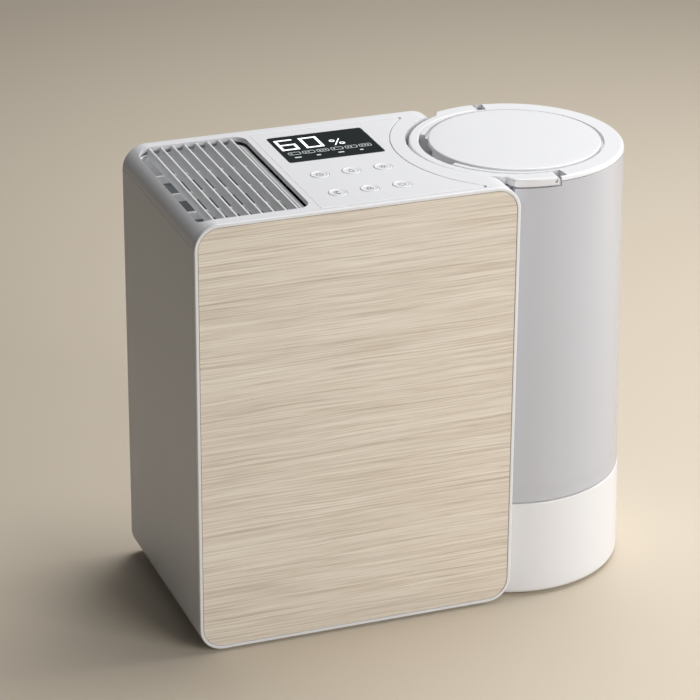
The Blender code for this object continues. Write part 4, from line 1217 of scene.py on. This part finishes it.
def dress_frame(looks):
    """Gives every CAD node that is still shown its own procedural finish."""
    by_slot = {
        "white_plastic": "white", "side_plastic": "side", "wood_grain": "wood",
        "grille_plastic": "grille", "black_glass": "glass", "frosted_tank": "tank",
        "rubber": "rubber", "silicone": "silicone", "steel": "steel", "inner_plastic": "inner",
        "circuit_board": "board", "wick": "wick", "dust_mesh": "mesh",
    }
    for row in frame["record"]["subparts"]:
        node = frame["nodes"][row["node"]]
        look = looks[by_slot[row["material_slot"]]]
        if not node.data.materials:
            node.data.materials.append(look)
        for i in range(len(node.data.materials)):
            node.data.materials[i] = look


def make_floor():
    look = Look("floor_look", 0.75)
    tone = look.noise(0.8, 2.0)
    look.colour(look.ramp(tone, [(0.35, (0.66, 0.575, 0.460)), (0.65, (0.68, 0.595, 0.475))]))
    look.bump(look.noise(500.0, 3.0), 0.05, 0.0003)
    bm = bmesh.new()
    bmesh.ops.create_grid(bm, x_segments=4, y_segments=4, size=8.0)
    mesh = bpy.data.meshes.new("floor")
    bm.to_mesh(mesh)
    bm.free()
    mesh.materials.append(look.material)
    floor = bpy.data.objects.new("floor", mesh)
    bpy.context.scene.collection.objects.link(floor)
    floor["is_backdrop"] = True


def softbox(name, place, target, width, height, power, colour=(1.0, 1.0, 1.0)):
    data = bpy.data.lights.new(name, "AREA")
    data.shape = "RECTANGLE"
    data.size = width
    data.size_y = height
    data.energy = power
    data.color = colour
    light = bpy.data.objects.new(name, data)
    light.location = place
    light.rotation_euler = (Vector(target) - Vector(place)).to_track_quat("-Z", "Y").to_euler()
    bpy.context.scene.collection.objects.link(light)


def make_light():
    world = bpy.data.worlds.new("studio")
    world.use_nodes = True
    background = world.node_tree.nodes["Background"]
    background.inputs["Color"].default_value = (0.92, 0.95, 1.0, 1.0)
    background.inputs["Strength"].default_value = 0.07
    bpy.context.scene.world = world
    softbox("top_box", (0.55, 0.35, 1.50), (0.0, 0.0, 0.2), 1.3, 1.4, 23.0)
    softbox("front_box", (0.75, -1.60, 0.75), (0.0, 0.0, 0.17), 1.1, 1.0, 21.0)
    softbox("right_box", (1.25, -0.05, 0.55), (0.1, 0.0, 0.17), 0.45, 1.1, 5.0)


def make_camera():
    data = bpy.data.cameras.new("camera")
    data.sensor_width = 36.0
    data.lens = CAMERA_LENS
    data.clip_start = 0.05
    data.clip_end = 50.0
    camera = bpy.data.objects.new("camera", data)
    yaw, pitch, roll = (math.radians(a) for a in CAMERA_TURN)
    forward = Vector((math.sin(yaw) * math.cos(pitch), math.cos(yaw) * math.cos(pitch), -math.sin(pitch)))
    right = Vector((math.cos(yaw), -math.sin(yaw), 0.0))
    up = right.cross(forward)
    across = right * math.cos(roll) + up * math.sin(roll)
    upward = up * math.cos(roll) - right * math.sin(roll)
    turn = Matrix((across, upward, -forward)).transposed()
    camera.matrix_world = Matrix.Translation(Vector(CAMERA_PLACE)) @ turn.to_4x4()
    bpy.context.scene.collection.objects.link(camera)
    bpy.context.scene.camera = camera


def main():
    looks = make_looks()
    make_front(looks)
    make_wood(looks)
    make_shell(looks)
    make_top_cover(looks)
    make_grille(looks)
    make_plate(looks)
    make_window(looks)
    make_buttons(looks)
    make_tank(looks)
    make_ring(looks)
    make_handle(looks)
    make_lid(looks)
    make_base(looks)
    make_feet(looks)
    make_back_panel(looks)
    make_rear_cover(looks)
    make_screws(looks)
    make_socket(looks)
    dress_frame(looks)
    make_floor()
    make_light()
    make_camera()
    bpy.context.scene.view_settings.view_transform = "Standard"


main()
size_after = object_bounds()
sizes = {"before": size_before, "after": size_after}
{key: [list(corner) for corner in pair] for key, pair in sizes.items()}
